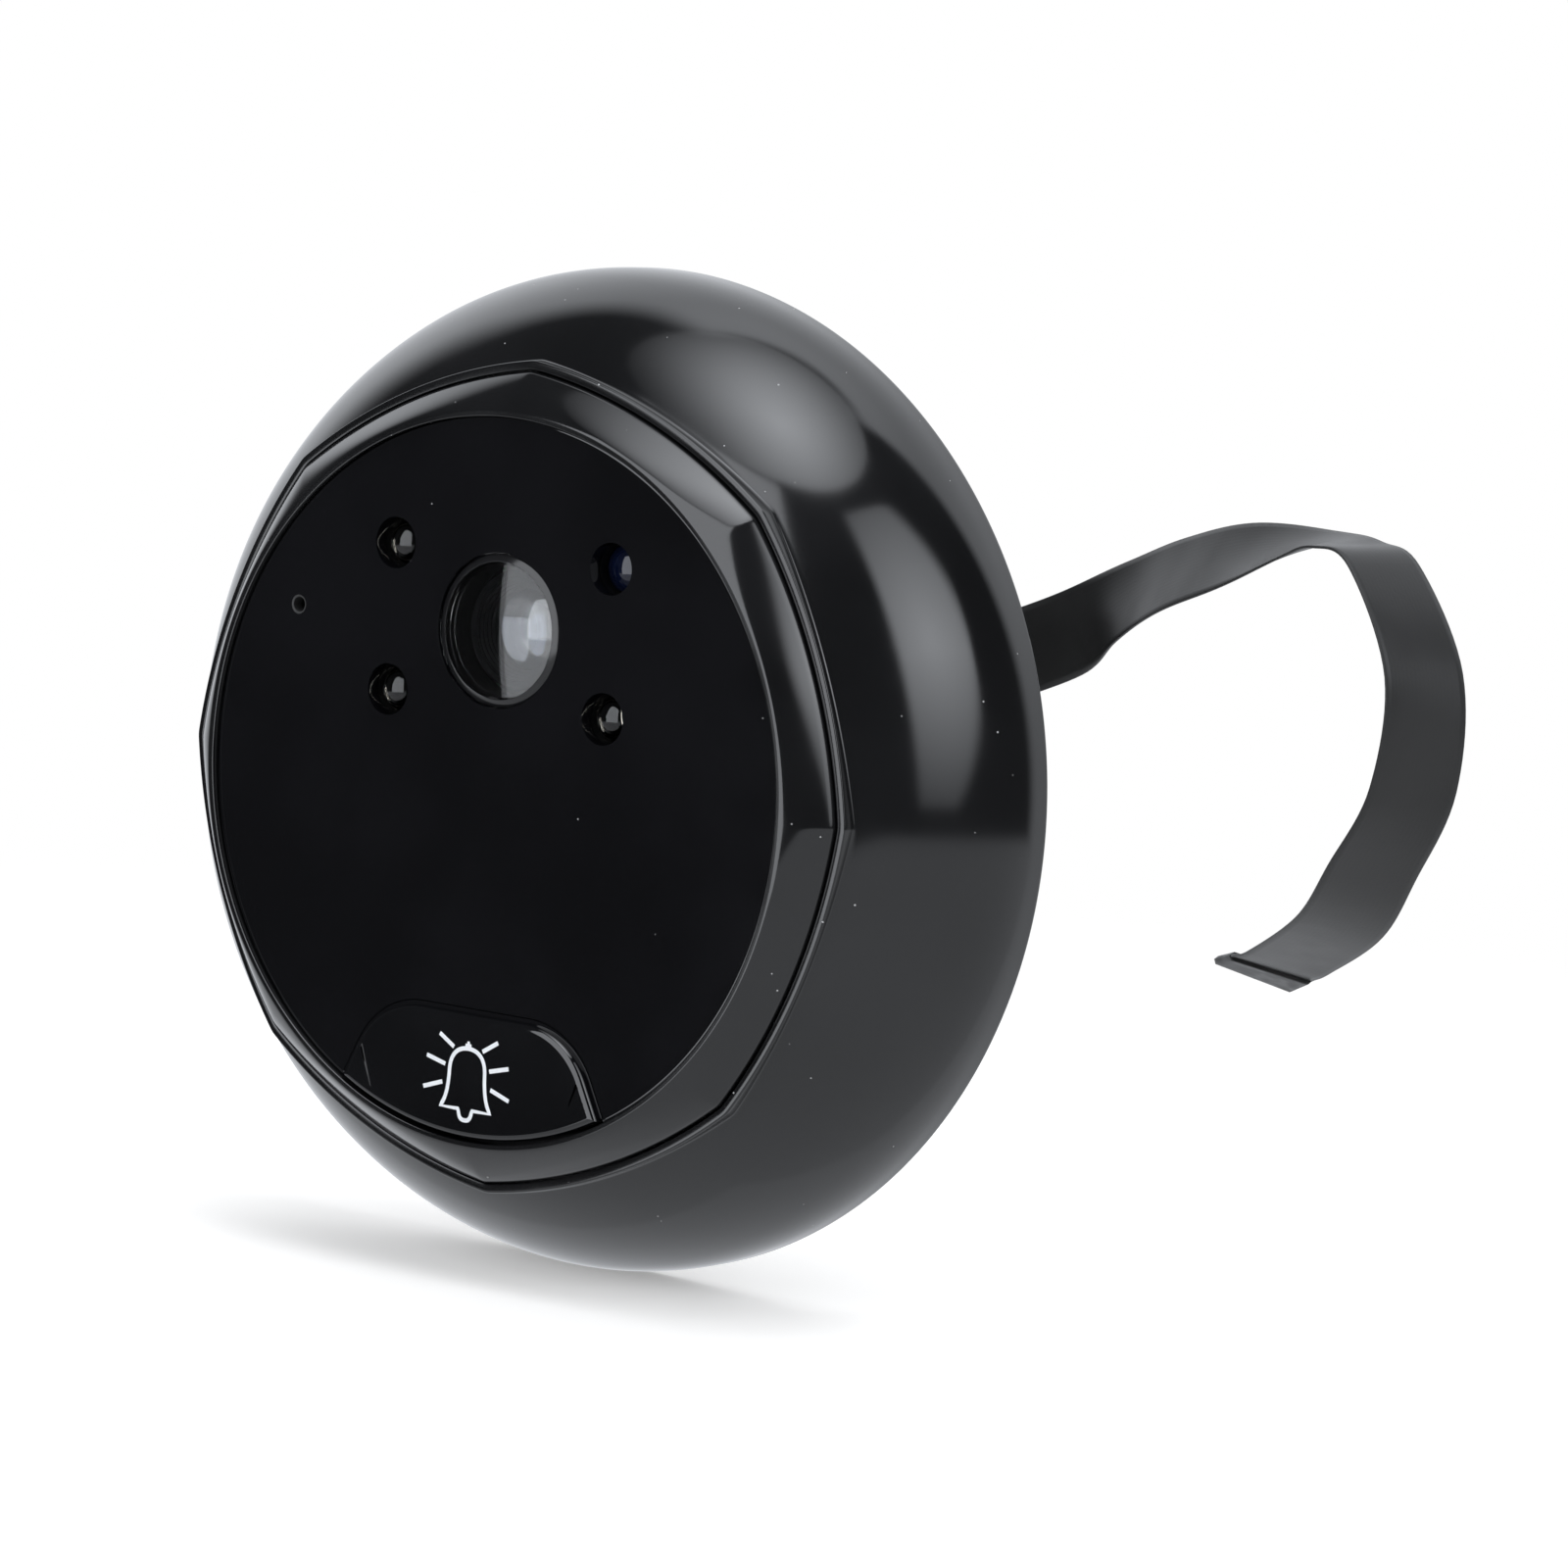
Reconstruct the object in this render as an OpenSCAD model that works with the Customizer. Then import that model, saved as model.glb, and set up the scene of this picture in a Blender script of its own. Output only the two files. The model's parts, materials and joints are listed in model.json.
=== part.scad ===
// Peephole door camera, outdoor unit. Millimetres.
// The origin is the centre of the rear door face. Z is up, the front faces -Y, the cable leaves towards +Y.
// Every module but the cable's is drawn face up: local z is the height above the door. on_door() turns it.

/* [Housing] */
// Largest radius of the domed housing
dome_r = 32.5; // [32:0.1:34]
// Height of the housing's rear edge above the door
dome_rear = 1; // [0.8:0.1:1.2]
// Height of the end of the straight band
band_top = 2.2; // [2:0.1:2.6]
// Radius of the lower arc of the dome
arc_low_r = 10.3; // [9.8:0.1:10.8]
// Radius of the upper arc of the dome
arc_up_r = 17.4; // [17:0.1:18]
// Angle where the two arcs meet
arc_turn = 20.5; // [18:0.5:23]
// Wall of the housing
wall = 2; // [1.8:0.1:2.2]
// Width of the raised octagonal lip
lip_w = 0.64; // [0.5:0.02:0.8]
// Step from the bezel's edge down to the lip
lip_drop = 0.2; // [0.1:0.05:0.3]
// Width of the shelf under the bezel
shelf_w = 3.85; // [3.7:0.05:3.95]
// Thickness of the shelf under the bezel
shelf_t = 2; // [1.6:0.1:2.2]

/* [Bezel] */
// Height of the round rim above the door
rim_z = 16.5; // [16.4:0.1:17]
// Distance from the dome's outside to the octagon's sides
dome_margin = 7.25; // [7:0.05:7.5]
// Width of the facets at the middle of a side
facet_w = 1.85; // [1.8:0.05:1.95]
// Width of the flat rim round the face
rim_w = 0.35; // [0.3:0.01:0.4]
// Fall of the facets from the rim to the octagon
facet_fall = 2.2; // [2:0.1:2.4]
// Radius of each bowed side of the octagon
side_r = 38; // [37:0.5:40]
// Run of the facets towards the middle over their fall
facet_run = 1.7; // [1.6:0.05:1.8]
// Reach of the round shoulder past the octagon's sides
shoulder_reach = 1.05; // [0.95:0.05:1.2]
// Depth of the skirt under the facets
skirt_h = 2.5; // [2.3:0.1:2.7]
// Thickness of the skirt at the middle of a side
skirt_w = 1.55; // [1.4:0.05:1.65]
// Gap round the bezel in the lip
bezel_gap = 0.06; // [0.04:0.01:0.1]
// Thickness of the bezel's floor
floor_t = 2; // [1.8:0.1:2.2]

/* [Face] */
// Gap round the face plate
plate_fit = 0.05; // [0.03:0.01:0.08]
// Thickness of the face plate
plate_t = 0.85; // [0.8:0.05:1]
// Depth of the face below the rim
plate_drop = 0.4; // [0.3:0.05:0.5]
// Thickness of the adhesive
glue_t = 0.2; // [0.1:0.05:0.3]
// Distance of the lens axis from the face's upper edge
lens_drop = 13.45; // [13.2:0.05:13.7]
// Radius of the lens window
window_r = 4.85; // [4.7:0.05:5]
// Radius of the clear hole behind the window
clear_r = 4.3; // [4.1:0.05:4.4]
// Side distance of the LEDs
led_x = 8.8; // [8.6:0.1:9.2]
// Height of the upper LED and the sensor above the lens axis
led_up = 4.75; // [4.5:0.05:4.9]
// Depth of the lower LEDs below the lens axis
led_down = 4.65; // [4.4:0.05:4.9]
// Radius of the LED holes
led_hole_r = 1.65; // [1.6:0.01:1.75]
// Depth of the LED tips below the rim
led_recess = 0.75; // [0.6:0.05:0.9]
// Distance of the microphone hole from the face's edge
mic_in = 3.77; // [3.6:0.01:4]
// Turn of the microphone hole round the face
mic_turn = 150.2; // [149:0.1:151]
// Radius of the microphone hole
mic_hole_r = 0.4; // [0.35:0.05:0.5]

/* [Button] */
// Height of the button
button_h = 7.9; // [7.7:0.1:8.1]
// Side distance of the shoulder centres
shoulder_x = 4.79; // [4.5:0.05:5]
// Radius of the shoulders
shoulder_r = 4; // [3.8:0.1:4.2]
// Tilt of the button's sides
side_tilt = 33; // [31:0.5:35]
// Height of the button above the rim
button_proud = 0.15; // [0.05:0.05:0.3]
// Bevel of the button's edge
button_bevel = 0.4; // [0.3:0.05:0.5]
// Gap round the button in the plate
button_gap = 0.2; // [0.16:0.02:0.24]
// Travel of the button
button_travel = 0.5; // [0.3:0.05:0.6]

/* [Board] */
// Gap round the circuit board in the shelf
board_gap = 0.4; // [0.3:0.05:0.6]
// Thickness of the circuit board
board_t = 1.2; // [1:0.1:1.3]
// Space between the bezel's floor and the board
board_space = 5.55; // [5.4:0.05:5.7]
// Radius of the board and bezel screws
small_screw_r = 0.95; // [0.85:0.05:1]
// Radius of the cover screws
cover_screw_r = 1.1; // [1:0.05:1.2]

/* [Cover] */
// Thickness of the foam pad
pad_t = 1.6; // [1.5:0.1:1.8]
// Margin from the cover's edge to the foam pad
pad_margin = 0.7; // [0.5:0.1:1]
// Inner radius of the foam pad
pad_in_r = 9.5; // [9:0.1:10]
// Gap round the back cover
cover_gap = 0.3; // [0.2:0.05:0.4]
// Width of the seal
seal_w = 1.6; // [1.4:0.1:1.8]
// Thickness of the back cover
cover_t = 2; // [1.9:0.1:2.2]
// Thickness of the seal
seal_t = 0.8; // [0.6:0.1:1]
// Radius of the spigot
spigot_r = 7; // [6.9:0.05:7.2]
// Length of the spigot past the door face
spigot_len = 3; // [2.8:0.1:3.5]
// Distance between the threaded inserts
insert_pitch = 8.4; // [8.2:0.1:8.6]
// Outer radius of the inserts
insert_r = 2; // [1.95:0.05:2.1]
// Radius of the inserts' threaded bore
insert_bore_r = 1.25; // [1.2:0.05:1.3]
// Length of the inserts
insert_len = 4.5; // [4:0.1:4.6]

/* [Cable] */
// Width of the flat cable
cable_w = 6; // [5.5:0.1:6.2]
// Thickness of the flat cable
cable_t = 0.35; // [0.3:0.05:0.4]
// Thickness of the stiffened contact end
contact_t = 0.6; // [0.5:0.05:0.7]

/* [Hidden] */
$fn = 96;
ball_n = 600;
eps = 0.02;
cut = 1;
// Margins between pieces that follow one another
glue_margin = 0.4;
bezel_boss_in = 2.35;
board_boss_in = 3.9;
seal_gap = 0.2;
cover_boss_in = 5;
socket_clear = 0.4;
// Radii, from the dome inwards
mid_r = dome_r - dome_margin;
side_off = side_r - mid_r;
rim_r = mid_r - facet_w;
pocket_r = rim_r - rim_w;
plate_r = pocket_r - plate_fit;
glue_r = plate_r - glue_margin;
skirt_in_r = mid_r - skirt_w;
shelf_in_r = mid_r - shelf_w;
bezel_boss_ring = mid_r - bezel_boss_in;
board_r = shelf_in_r - board_gap;
board_boss_ring = board_r - board_boss_in;
button_r = plate_r - button_gap;
rebate_r = dome_r - wall;
cover_r = rebate_r - cover_gap;
seal_r = cover_r - seal_gap;
seal_in_r = seal_r - seal_w;
cover_boss_ring = cover_r - cover_boss_in;
pad_r = cover_r - pad_margin;
// Heights above the door
edge_z = rim_z - facet_fall;
shelf_z = edge_z - skirt_h;
shelf_low = shelf_z - shelf_t;
plate_top = rim_z - plate_drop;
floor_top = plate_top - plate_t - glue_t;
floor_low = floor_top - floor_t;
board_front = floor_low - board_space;
board_back = board_front - board_t;
cover_front = pad_t + cover_t;
ledge_z = cover_front + seal_t;
ledge_t = 2;
ledge_top = ledge_z + ledge_t;
socket_low = cover_front + socket_clear;
// Places on the face
lens_y = plate_r - lens_drop;
led_high_y = lens_y + led_up;
led_low_y = lens_y - led_down;
led_pos = [[-led_x, led_high_y], [-led_x, led_low_y], [led_x, led_low_y]];
sensor_pos = [led_x, led_high_y];
mic_pos = (plate_r - mic_in) * [cos(mic_turn), sin(mic_turn)];
button_top = button_r - button_h;
switch_in = 5.6;
switch_pos = [0, switch_in - button_r];
board_boss_turn = [90, 210, 330];
bezel_boss_turn = [20, 160, 220, 320];
cover_boss_turn = [0, 90, 180, 270];
// Lens module
window_fit = 0.1;
window_rim = 0.9;
window_crown = 0.3;
holder_w = 10;
holder_foot = 1.8;
holder_wall = 1;
holder_h = 4.5;
holder_top = board_front + holder_h;
die_w = 5;
die_h = 0.7;
die_room = 0.3;
barrel_r = 3.4;
barrel_head_r = 3.8;
barrel_rise = 1.6;
barrel_low = board_front + barrel_rise;
barrel_drop = 1.05;
barrel_top = floor_top - barrel_drop;
head_gap = 0.3;
throat_r = 1.6;
front_lens_r = 2.58;
front_lens_edge = 0.4;
front_lens_bulge = 0.7;
rear_lens_r = 2.18;
rear_lens_edge = 0.5;
rear_lens_bulge = 0.4;
rear_lens_rise = 3.3;
rear_lens_z = board_front + rear_lens_rise;
mouth_grow = 0.6;
mouth_depth = 0.7;
glue_ease = 0.3;
// LEDs and their spacers
led_h = 5.25;
led_r = 1.5;
led_flange_r = 1.85;
led_flange_h = 1;
led_base = rim_z - led_recess - led_h;
lead_w = 0.5;
lead_pitch = 1.27;
lead_hole_r = 0.45;
lead_stub = 0.7;
spacer_w = 4;
spacer_end = 2.2;
// Microphone
mic_w = 3;
mic_h = 1.1;
mic_port_r = 0.3;
mic_port_h = 0.4;
boot_r = 1.4;
boot_fit = 0.1;
sink_grow = 0.35;
sink_h = 0.25;
// Switch and button
switch_w = 4.5;
switch_h = 1.6;
switch_floor = 0.15;
plunger_r = 1;
plunger_fit = 0.05;
plunger_h = 2.4;
plunger_top = board_front + plunger_h;
plunger_gap = 0.1;
plunger_low = board_front + switch_floor + plunger_gap + button_travel;
post_r = 1.5;
flange_h = 0.5;
flange_grow = 0.6;
stop_gap = 0.05;
floor_ease = 0.05;
// Screws
boss_r = 2;
cover_boss_r = 2.4;
screw_fit = 0.02;
screw_ease = 0.2;
head_r = 1.7;
head_h = 1;
slot_w = 0.4;
slot_len = 2;
slot_deep = 0.5;
board_screw_len = 4.6;
bezel_screw_grip = 2.2;
screw_end = 0.3;
sunk_grow = 0.99;
sunk_r = cover_screw_r + sunk_grow;
sunk_h = 1.2;
sunk_fit = 0.06;
cover_screw_len = 7;
// Board parts and cable passage
socket_w = 3;
socket_end = 0.7;
socket_deep = 1;
chip_w = 9;
chip_h = 1;
chip_gap = 2.3;
chip_pos = [-chip_w / 2, -cable_w / 2 - socket_end - chip_gap - chip_w];
slot_fit = 0.04;
plug_deep = 0.9;
cable_in = -socket_low - plug_deep;
passage_t = 1.2;
passage_ease = 0.3;
grommet_len = 2.5;
grommet_t = 2.26;
grommet_end = 0.98;
// Cable route: point, then the way its upper edge points
route = [
    [[0, cable_in, 0], [0, 0, 1]],
    [[0, spigot_len, 0], [0, 0, 1]],
    [[0, spigot_len + 3, 0], [0, 0, 1]],
    [[-1, 11, 0], [0, 0, 1]],
    [[-4.5, 18.5, 0], [-0.25, -0.1, 0.95]],
    [[-7, 26, 0.5], [-0.4, -0.15, 0.9]],
    [[-6.5, 33.5, 2], [-0.4, -0.2, 0.9]],
    [[-2, 39.5, 5], [-0.35, -0.2, 0.9]],
    [[5, 40, 8], [-0.35, 0, 0.95]],
    [[11.5, 36.5, 11], [-0.15, 0.4, 0.9]],
    [[18, 32.5, 13.5], [0, 0.55, 0.85]],
    [[25, 29, 15.5], [0.1, 0.65, 0.75]],
    [[32.5, 26.5, 17], [0.25, 0.9, 0.3]],
    [[36.5, 25, 17.5], [0.3, 0.95, 0.05]],
    [[40, 24, 16.5], [0.3, 0.95, 0]],
    [[44.5, 22.5, 10], [0.4, 0.9, 0.05]],
    [[44, 23, 2.5], [0.6, 0.8, 0]],
    [[39.5, 26, -3.5], [0.7, 0.7, -0.1]],
    [[34.5, 30.5, -8], [0.7, 0.7, -0.2]],
    [[26, 38, -12], [0.7, 0.7, -0.2]],
    [[23, 40.5, -13], [0.7, 0.68, -0.25]],
    [[20, 43, -14], [0.7, 0.65, -0.3]],
];
span_n = 4;
cable_end = len(route) - 2;

// Turns a face-up drawing so that its front looks along -Y
module on_door() {
    rotate([90, 0, 0]) children();
}

// Half section of the dome, set in from its outside
module dome_section(inset, low) {
    centre_x = dome_r - arc_low_r;
    turn_z = band_top + (arc_low_r - inset) * sin(arc_turn);
    shift = arc_low_r - arc_up_r;
    translate([0, low]) square([dome_r - inset, band_top - low]);
    translate([0, band_top]) square([centre_x, turn_z - band_top]);
    intersection() {
        translate([centre_x, band_top]) circle(arc_low_r - inset);
        translate([centre_x - cut, band_top]) square([arc_low_r + cut, turn_z - band_top]);
    }
    intersection() {
        translate([centre_x + shift * cos(arc_turn), band_top + shift * sin(arc_turn)])
            circle(arc_up_r - inset);
        translate([shelf_in_r / 2, turn_z]) square([dome_r, rim_z]);
    }
}

// Bowed octagon, grown by a margin
module octagon(grow) {
    intersection_for(i = [0:7])
        rotate(22.5 + 45 * i) translate([-side_off, 0]) circle(side_r + grow);
}

// Outline of the button, grown by a margin and reaching further down where it must stay open
module button_outline(grow, reach = 0) {
    drop = -button_top - shoulder_r;
    out = shoulder_r + grow;
    turn_x = shoulder_x + out * cos(side_tilt);
    turn_y = drop + out * sin(side_tilt);
    run = 12;
    end_x = turn_x + run * sin(side_tilt);
    end_y = turn_y - run * cos(side_tilt);
    intersection() {
        circle(button_r + grow + reach);
        union() {
            polygon([[-shoulder_x, drop + out], [-turn_x, turn_y], [-end_x, end_y],
                [end_x, end_y], [turn_x, turn_y], [shoulder_x, drop + out]]);
            translate([-shoulder_x, drop]) circle(out);
            translate([shoulder_x, drop]) circle(out);
        }
    }
}

module dome_housing() {
    color("DimGray") on_door() difference() {
        union() {
            rotate_extrude() difference() {
                intersection() {
                    dome_section(0, dome_rear);
                    translate([shelf_in_r, 0]) square([dome_r, rim_z]);
                }
                intersection() {
                    dome_section(wall, 0);
                    translate([0, ledge_top]) square([dome_r, shelf_low - ledge_top]);
                }
                square([seal_in_r, ledge_top + eps]);
                square([rebate_r, ledge_z]);
            }
            translate([0, 0, shelf_z - shelf_t / 2]) linear_extrude(edge_z - lip_drop - shelf_z + shelf_t / 2)
                difference() {
                    octagon(bezel_gap + lip_w);
                    circle(shelf_in_r + cut);
                }
            for (turn = cover_boss_turn)
                rotate(turn) translate([cover_boss_ring, 0, cover_front])
                    cylinder(r = cover_boss_r, h = shelf_z - shelf_t / 2 - cover_front);
        }
        translate([0, 0, shelf_z]) linear_extrude(rim_z) octagon(bezel_gap);
        for (turn = bezel_boss_turn)
            rotate(turn) translate([bezel_boss_ring, 0, shelf_low - cut])
                cylinder(r = small_screw_r + screw_ease, h = shelf_t + 2 * cut);
        for (turn = cover_boss_turn)
            rotate(turn) translate([cover_boss_ring, 0, pad_t])
                cylinder(r = cover_screw_r + screw_fit, h = cover_screw_len + screw_end);
    }
}

// Turned body with a straight skirt and a sloping top
module turned_top(low_r, top_r) {
    rotate_extrude() polygon([[0, shelf_z], [low_r, shelf_z], [low_r, edge_z], [top_r, rim_z], [0, rim_z]]);
}

// Eight bowed facets that run up into a round shoulder
module bezel_solid() {
    intersection() {
        turned_top(mid_r + shoulder_reach, rim_r);
        intersection_for(i = [0:7])
            rotate(22.5 + 45 * i) translate([-side_off, 0, 0]) turned_top(side_r, side_r - facet_run);
    }
}

module octagon_bezel() {
    color("DarkSlateGray") on_door() difference() {
        union() {
            difference() {
                bezel_solid();
                translate([0, 0, shelf_z - cut]) cylinder(r = skirt_in_r, h = floor_low - shelf_z + cut);
                translate([0, 0, floor_top]) cylinder(r = pocket_r, h = rim_z);
            }
            for (turn = bezel_boss_turn)
                rotate(turn) translate([bezel_boss_ring, 0, shelf_z])
                    cylinder(r = boss_r, h = floor_low - shelf_z + floor_t / 2);
            for (turn = board_boss_turn)
                rotate(turn) translate([board_boss_ring, 0, board_front])
                    cylinder(r = boss_r, h = board_space + floor_t / 2);
        }
        for (turn = bezel_boss_turn)
            rotate(turn) translate([bezel_boss_ring, 0, shelf_z - cut])
                cylinder(r = small_screw_r + screw_fit, h = bezel_screw_grip + screw_end + cut);
        for (turn = board_boss_turn)
            rotate(turn) translate([board_boss_ring, 0, board_back])
                cylinder(r = small_screw_r + screw_fit, h = board_screw_len + screw_end);
        translate([0, lens_y, floor_low - cut]) cylinder(r = clear_r, h = floor_t + 2 * cut);
        for (p = concat(led_pos, [sensor_pos]))
            translate([p.x, p.y, floor_low - cut]) cylinder(r = led_hole_r, h = floor_t + 2 * cut);
        translate([mic_pos.x, mic_pos.y, floor_low - cut])
            cylinder(r = mic_hole_r + boot_fit, h = floor_t + 2 * cut);
        translate([0, 0, floor_low - cut]) linear_extrude(floor_t + 2 * cut)
            button_outline(button_gap - floor_ease);
    }
}

module face_plate() {
    color("Black") on_door() translate([0, 0, floor_top + glue_t]) difference() {
        cylinder(r = plate_r, h = plate_t);
        face_holes(window_r + window_fit, led_hole_r, mic_hole_r, button_gap, plate_t);
        translate([mic_pos.x, mic_pos.y, plate_t - sink_h])
            cylinder(r1 = mic_hole_r, r2 = mic_hole_r + 2 * sink_grow, h = 2 * sink_h);
    }
}

// Holes through a sheet of the face: lens, LEDs, microphone and button
module face_holes(lens_r, lamp_r, mic_r, button_grow, t) {
    translate([0, lens_y, -cut]) cylinder(r = lens_r, h = t + 2 * cut);
    for (p = concat(led_pos, [sensor_pos]))
        translate([p.x, p.y, -cut]) cylinder(r = lamp_r, h = t + 2 * cut);
    translate([mic_pos.x, mic_pos.y, -cut]) cylinder(r = mic_r, h = t + 2 * cut);
    translate([0, 0, -cut]) linear_extrude(t + 2 * cut) button_outline(button_grow, cut);
}

module face_adhesive() {
    color("WhiteSmoke") on_door() translate([0, 0, floor_top]) difference() {
        cylinder(r = glue_r, h = glue_t);
        face_holes(window_r + glue_ease, led_hole_r + glue_ease, mic_hole_r + glue_ease,
            button_gap + glue_ease, glue_t);
    }
}

// Round piece with one flat and one bulged face, flat face down
module bulged_disc(r, edge, bulge) {
    ball = (r * r + bulge * bulge) / (2 * bulge);
    rotate_extrude() intersection() {
        square([r, edge + bulge]);
        translate([0, edge + bulge - ball]) circle(ball, $fn = ball_n);
    }
}

module lens_window() {
    color("LightBlue", 0.4) on_door() translate([0, lens_y, floor_top])
        bulged_disc(window_r, window_rim, window_crown);
}

module lens_barrel() {
    head_low = holder_top + head_gap;
    color("Black") on_door() translate([0, lens_y, 0]) difference() {
        union() {
            translate([0, 0, barrel_low]) cylinder(r = barrel_r, h = barrel_top - barrel_low);
            translate([0, 0, head_low]) cylinder(r = barrel_head_r, h = barrel_top - head_low);
        }
        translate([0, 0, barrel_low - cut]) cylinder(r = throat_r, h = barrel_top);
        translate([0, 0, barrel_low - cut])
            cylinder(r = rear_lens_r + screw_fit, h = rear_lens_z - barrel_low + cut);
        translate([0, 0, holder_top]) cylinder(r = front_lens_r + screw_fit, h = barrel_top);
        translate([0, 0, barrel_top - mouth_depth])
            cylinder(r1 = front_lens_r + screw_fit, r2 = front_lens_r + mouth_grow, h = mouth_depth + eps);
    }
}

module front_lens() {
    color("LightCyan", 0.5) on_door() translate([0, lens_y, holder_top])
        bulged_disc(front_lens_r, front_lens_edge, front_lens_bulge);
}

module rear_lens() {
    color("LightCyan", 0.5) on_door() translate([0, lens_y, rear_lens_z])
        rotate([180, 0, 0]) bulged_disc(rear_lens_r, rear_lens_edge, rear_lens_bulge);
}

module lens_holder() {
    room = die_w + 2 * die_room;
    color("DimGray") on_door() translate([0, lens_y, board_front]) difference() {
        union() {
            translate([-holder_w / 2, -holder_w / 2, 0]) cube([holder_w, holder_w, holder_foot]);
            cylinder(r = barrel_r + holder_wall, h = holder_h);
        }
        translate([-room / 2, -room / 2, -cut]) cube([room, room, die_h + die_room + cut]);
        cylinder(r = barrel_r + screw_fit, h = holder_h + cut);
    }
}

module image_sensor() {
    color("DarkSlateBlue") on_door() translate([-die_w / 2, lens_y - die_w / 2, board_front])
        cube([die_w, die_w, die_h]);
}

module main_board() {
    color("DarkGreen") on_door() translate([0, 0, board_back]) difference() {
        cylinder(r = board_r, h = board_t);
        for (turn = board_boss_turn)
            rotate(turn) translate([board_boss_ring, 0, -cut])
                cylinder(r = small_screw_r + screw_ease, h = board_t + 2 * cut);
        for (p = concat(led_pos, [sensor_pos]), s = [-1, 1])
            translate([p.x + s * lead_pitch, p.y, -cut]) cylinder(r = lead_hole_r, h = board_t + 2 * cut);
    }
}

module led_spacers() {
    color("Black") on_door() for (s = [-1, 1])
        difference() {
            translate([s * led_x - spacer_w / 2, led_low_y - spacer_end, board_front])
                cube([spacer_w, led_high_y - led_low_y + 2 * spacer_end, led_base - board_front]);
            for (y = [led_low_y, led_high_y], t = [-1, 1])
                translate([s * led_x + t * lead_pitch, y, board_back]) cylinder(r = lead_hole_r, h = rim_z);
        }
}

// Round-nosed lamp with a flange and two leads
module led(p) {
    lead_low = board_back - lead_stub - led_base;
    on_door() translate([p.x, p.y, led_base]) {
        rotate_extrude() {
            square([led_flange_r, led_flange_h]);
            square([led_r, led_h - led_r]);
            intersection() {
                translate([0, led_h - led_r]) circle(led_r);
                translate([0, led_h - led_r - eps]) square(led_r + eps);
            }
        }
        for (s = [-1, 1])
            translate([s * lead_pitch - lead_w / 2, -lead_w / 2, lead_low])
                cube([lead_w, lead_w, eps - lead_low]);
    }
}

module ir_led_upper_left() {
    color("LightYellow", 0.6) led(led_pos[0]);
}

module ir_led_lower_left() {
    color("LightYellow", 0.6) led(led_pos[1]);
}

module ir_led_lower_right() {
    color("LightYellow", 0.6) led(led_pos[2]);
}

module light_sensor() {
    color("MidnightBlue") led(sensor_pos);
}

module microphone() {
    color("Silver") on_door() translate([mic_pos.x, mic_pos.y, board_front])
        rotate(atan2(mic_pos.y, mic_pos.x)) difference() {
            translate([-mic_w / 2, -mic_w / 2, 0]) cube([mic_w, mic_w, mic_h]);
            translate([0, 0, mic_h - mic_port_h]) cylinder(r = mic_port_r, h = mic_h);
        }
}

module microphone_boot() {
    color("Black") on_door() translate([mic_pos.x, mic_pos.y, board_front + mic_h]) difference() {
        cylinder(r = boot_r, h = board_space - mic_h);
        translate([0, 0, -cut]) cylinder(r = mic_hole_r + boot_fit, h = board_space + cut);
    }
}

module doorbell_button() {
    flange_top = floor_low - stop_gap;
    cap_top = rim_z + button_proud;
    post_low = plunger_top + stop_gap;
    color("DarkSlateGray") on_door() {
        translate([0, 0, flange_top - eps])
            linear_extrude(cap_top - button_bevel - flange_top + 2 * eps) button_outline(0);
        hull() {
            translate([0, 0, cap_top - button_bevel]) linear_extrude(eps) button_outline(0);
            translate([0, 0, cap_top - eps]) linear_extrude(eps) button_outline(-button_bevel);
        }
        translate([0, 0, flange_top - flange_h]) linear_extrude(flange_h) button_outline(flange_grow);
        translate([switch_pos.x, switch_pos.y, post_low]) cylinder(r = post_r, h = flange_top - post_low - eps);
    }
}

module tact_switch_body() {
    color("Gray") on_door() translate([switch_pos.x, switch_pos.y, board_front]) difference() {
        translate([-switch_w / 2, -switch_w / 2, 0]) cube([switch_w, switch_w, switch_h]);
        translate([0, 0, switch_floor]) cylinder(r = plunger_r + plunger_fit, h = switch_h);
    }
}

module tact_switch_plunger() {
    color("Tan") on_door() translate([switch_pos.x, switch_pos.y, plunger_low])
        cylinder(r = plunger_r, h = plunger_top - plunger_low);
}

module processor_chip() {
    color("Black") on_door() translate([chip_pos.x, chip_pos.y, board_back - chip_h])
        cube([chip_w, chip_w, chip_h]);
}

// Room for the flat cable along local z, with a margin all round
module cable_slot(margin, low, h) {
    translate([-cable_t / 2 - margin, -cable_w / 2 - margin, low])
        cube([cable_t + 2 * margin, cable_w + 2 * margin, h]);
}

module ribbon_socket() {
    color("Ivory") on_door() difference() {
        translate([-socket_w / 2, -cable_w / 2 - socket_end, socket_low])
            cube([socket_w, cable_w + 2 * socket_end, board_back - socket_low]);
        cable_slot(slot_fit, socket_low - cut, socket_deep + cut);
    }
}

// Cross slot cut into a screw head from below
module cross_slot(low, h) {
    for (turn = [0, 90])
        rotate(turn) translate([-slot_len / 2, -slot_w / 2, low]) cube([slot_len, slot_w, h]);
}

// Pan-head screw, its head's underside at zero and its shaft upwards
module pan_screw(r, len) {
    difference() {
        union() {
            translate([0, 0, -head_h]) cylinder(r = head_r, h = head_h);
            translate([0, 0, -eps]) cylinder(r = r, h = len + eps);
        }
        cross_slot(-head_h - cut, slot_deep + cut);
    }
}

module board_screws() {
    color("Silver") on_door() for (turn = board_boss_turn)
        rotate(turn) translate([board_boss_ring, 0, board_back]) pan_screw(small_screw_r, board_screw_len);
}

module bezel_screws() {
    color("Silver") on_door() for (turn = bezel_boss_turn)
        rotate(turn) translate([bezel_boss_ring, 0, shelf_low])
            pan_screw(small_screw_r, shelf_t + bezel_screw_grip);
}

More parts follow.
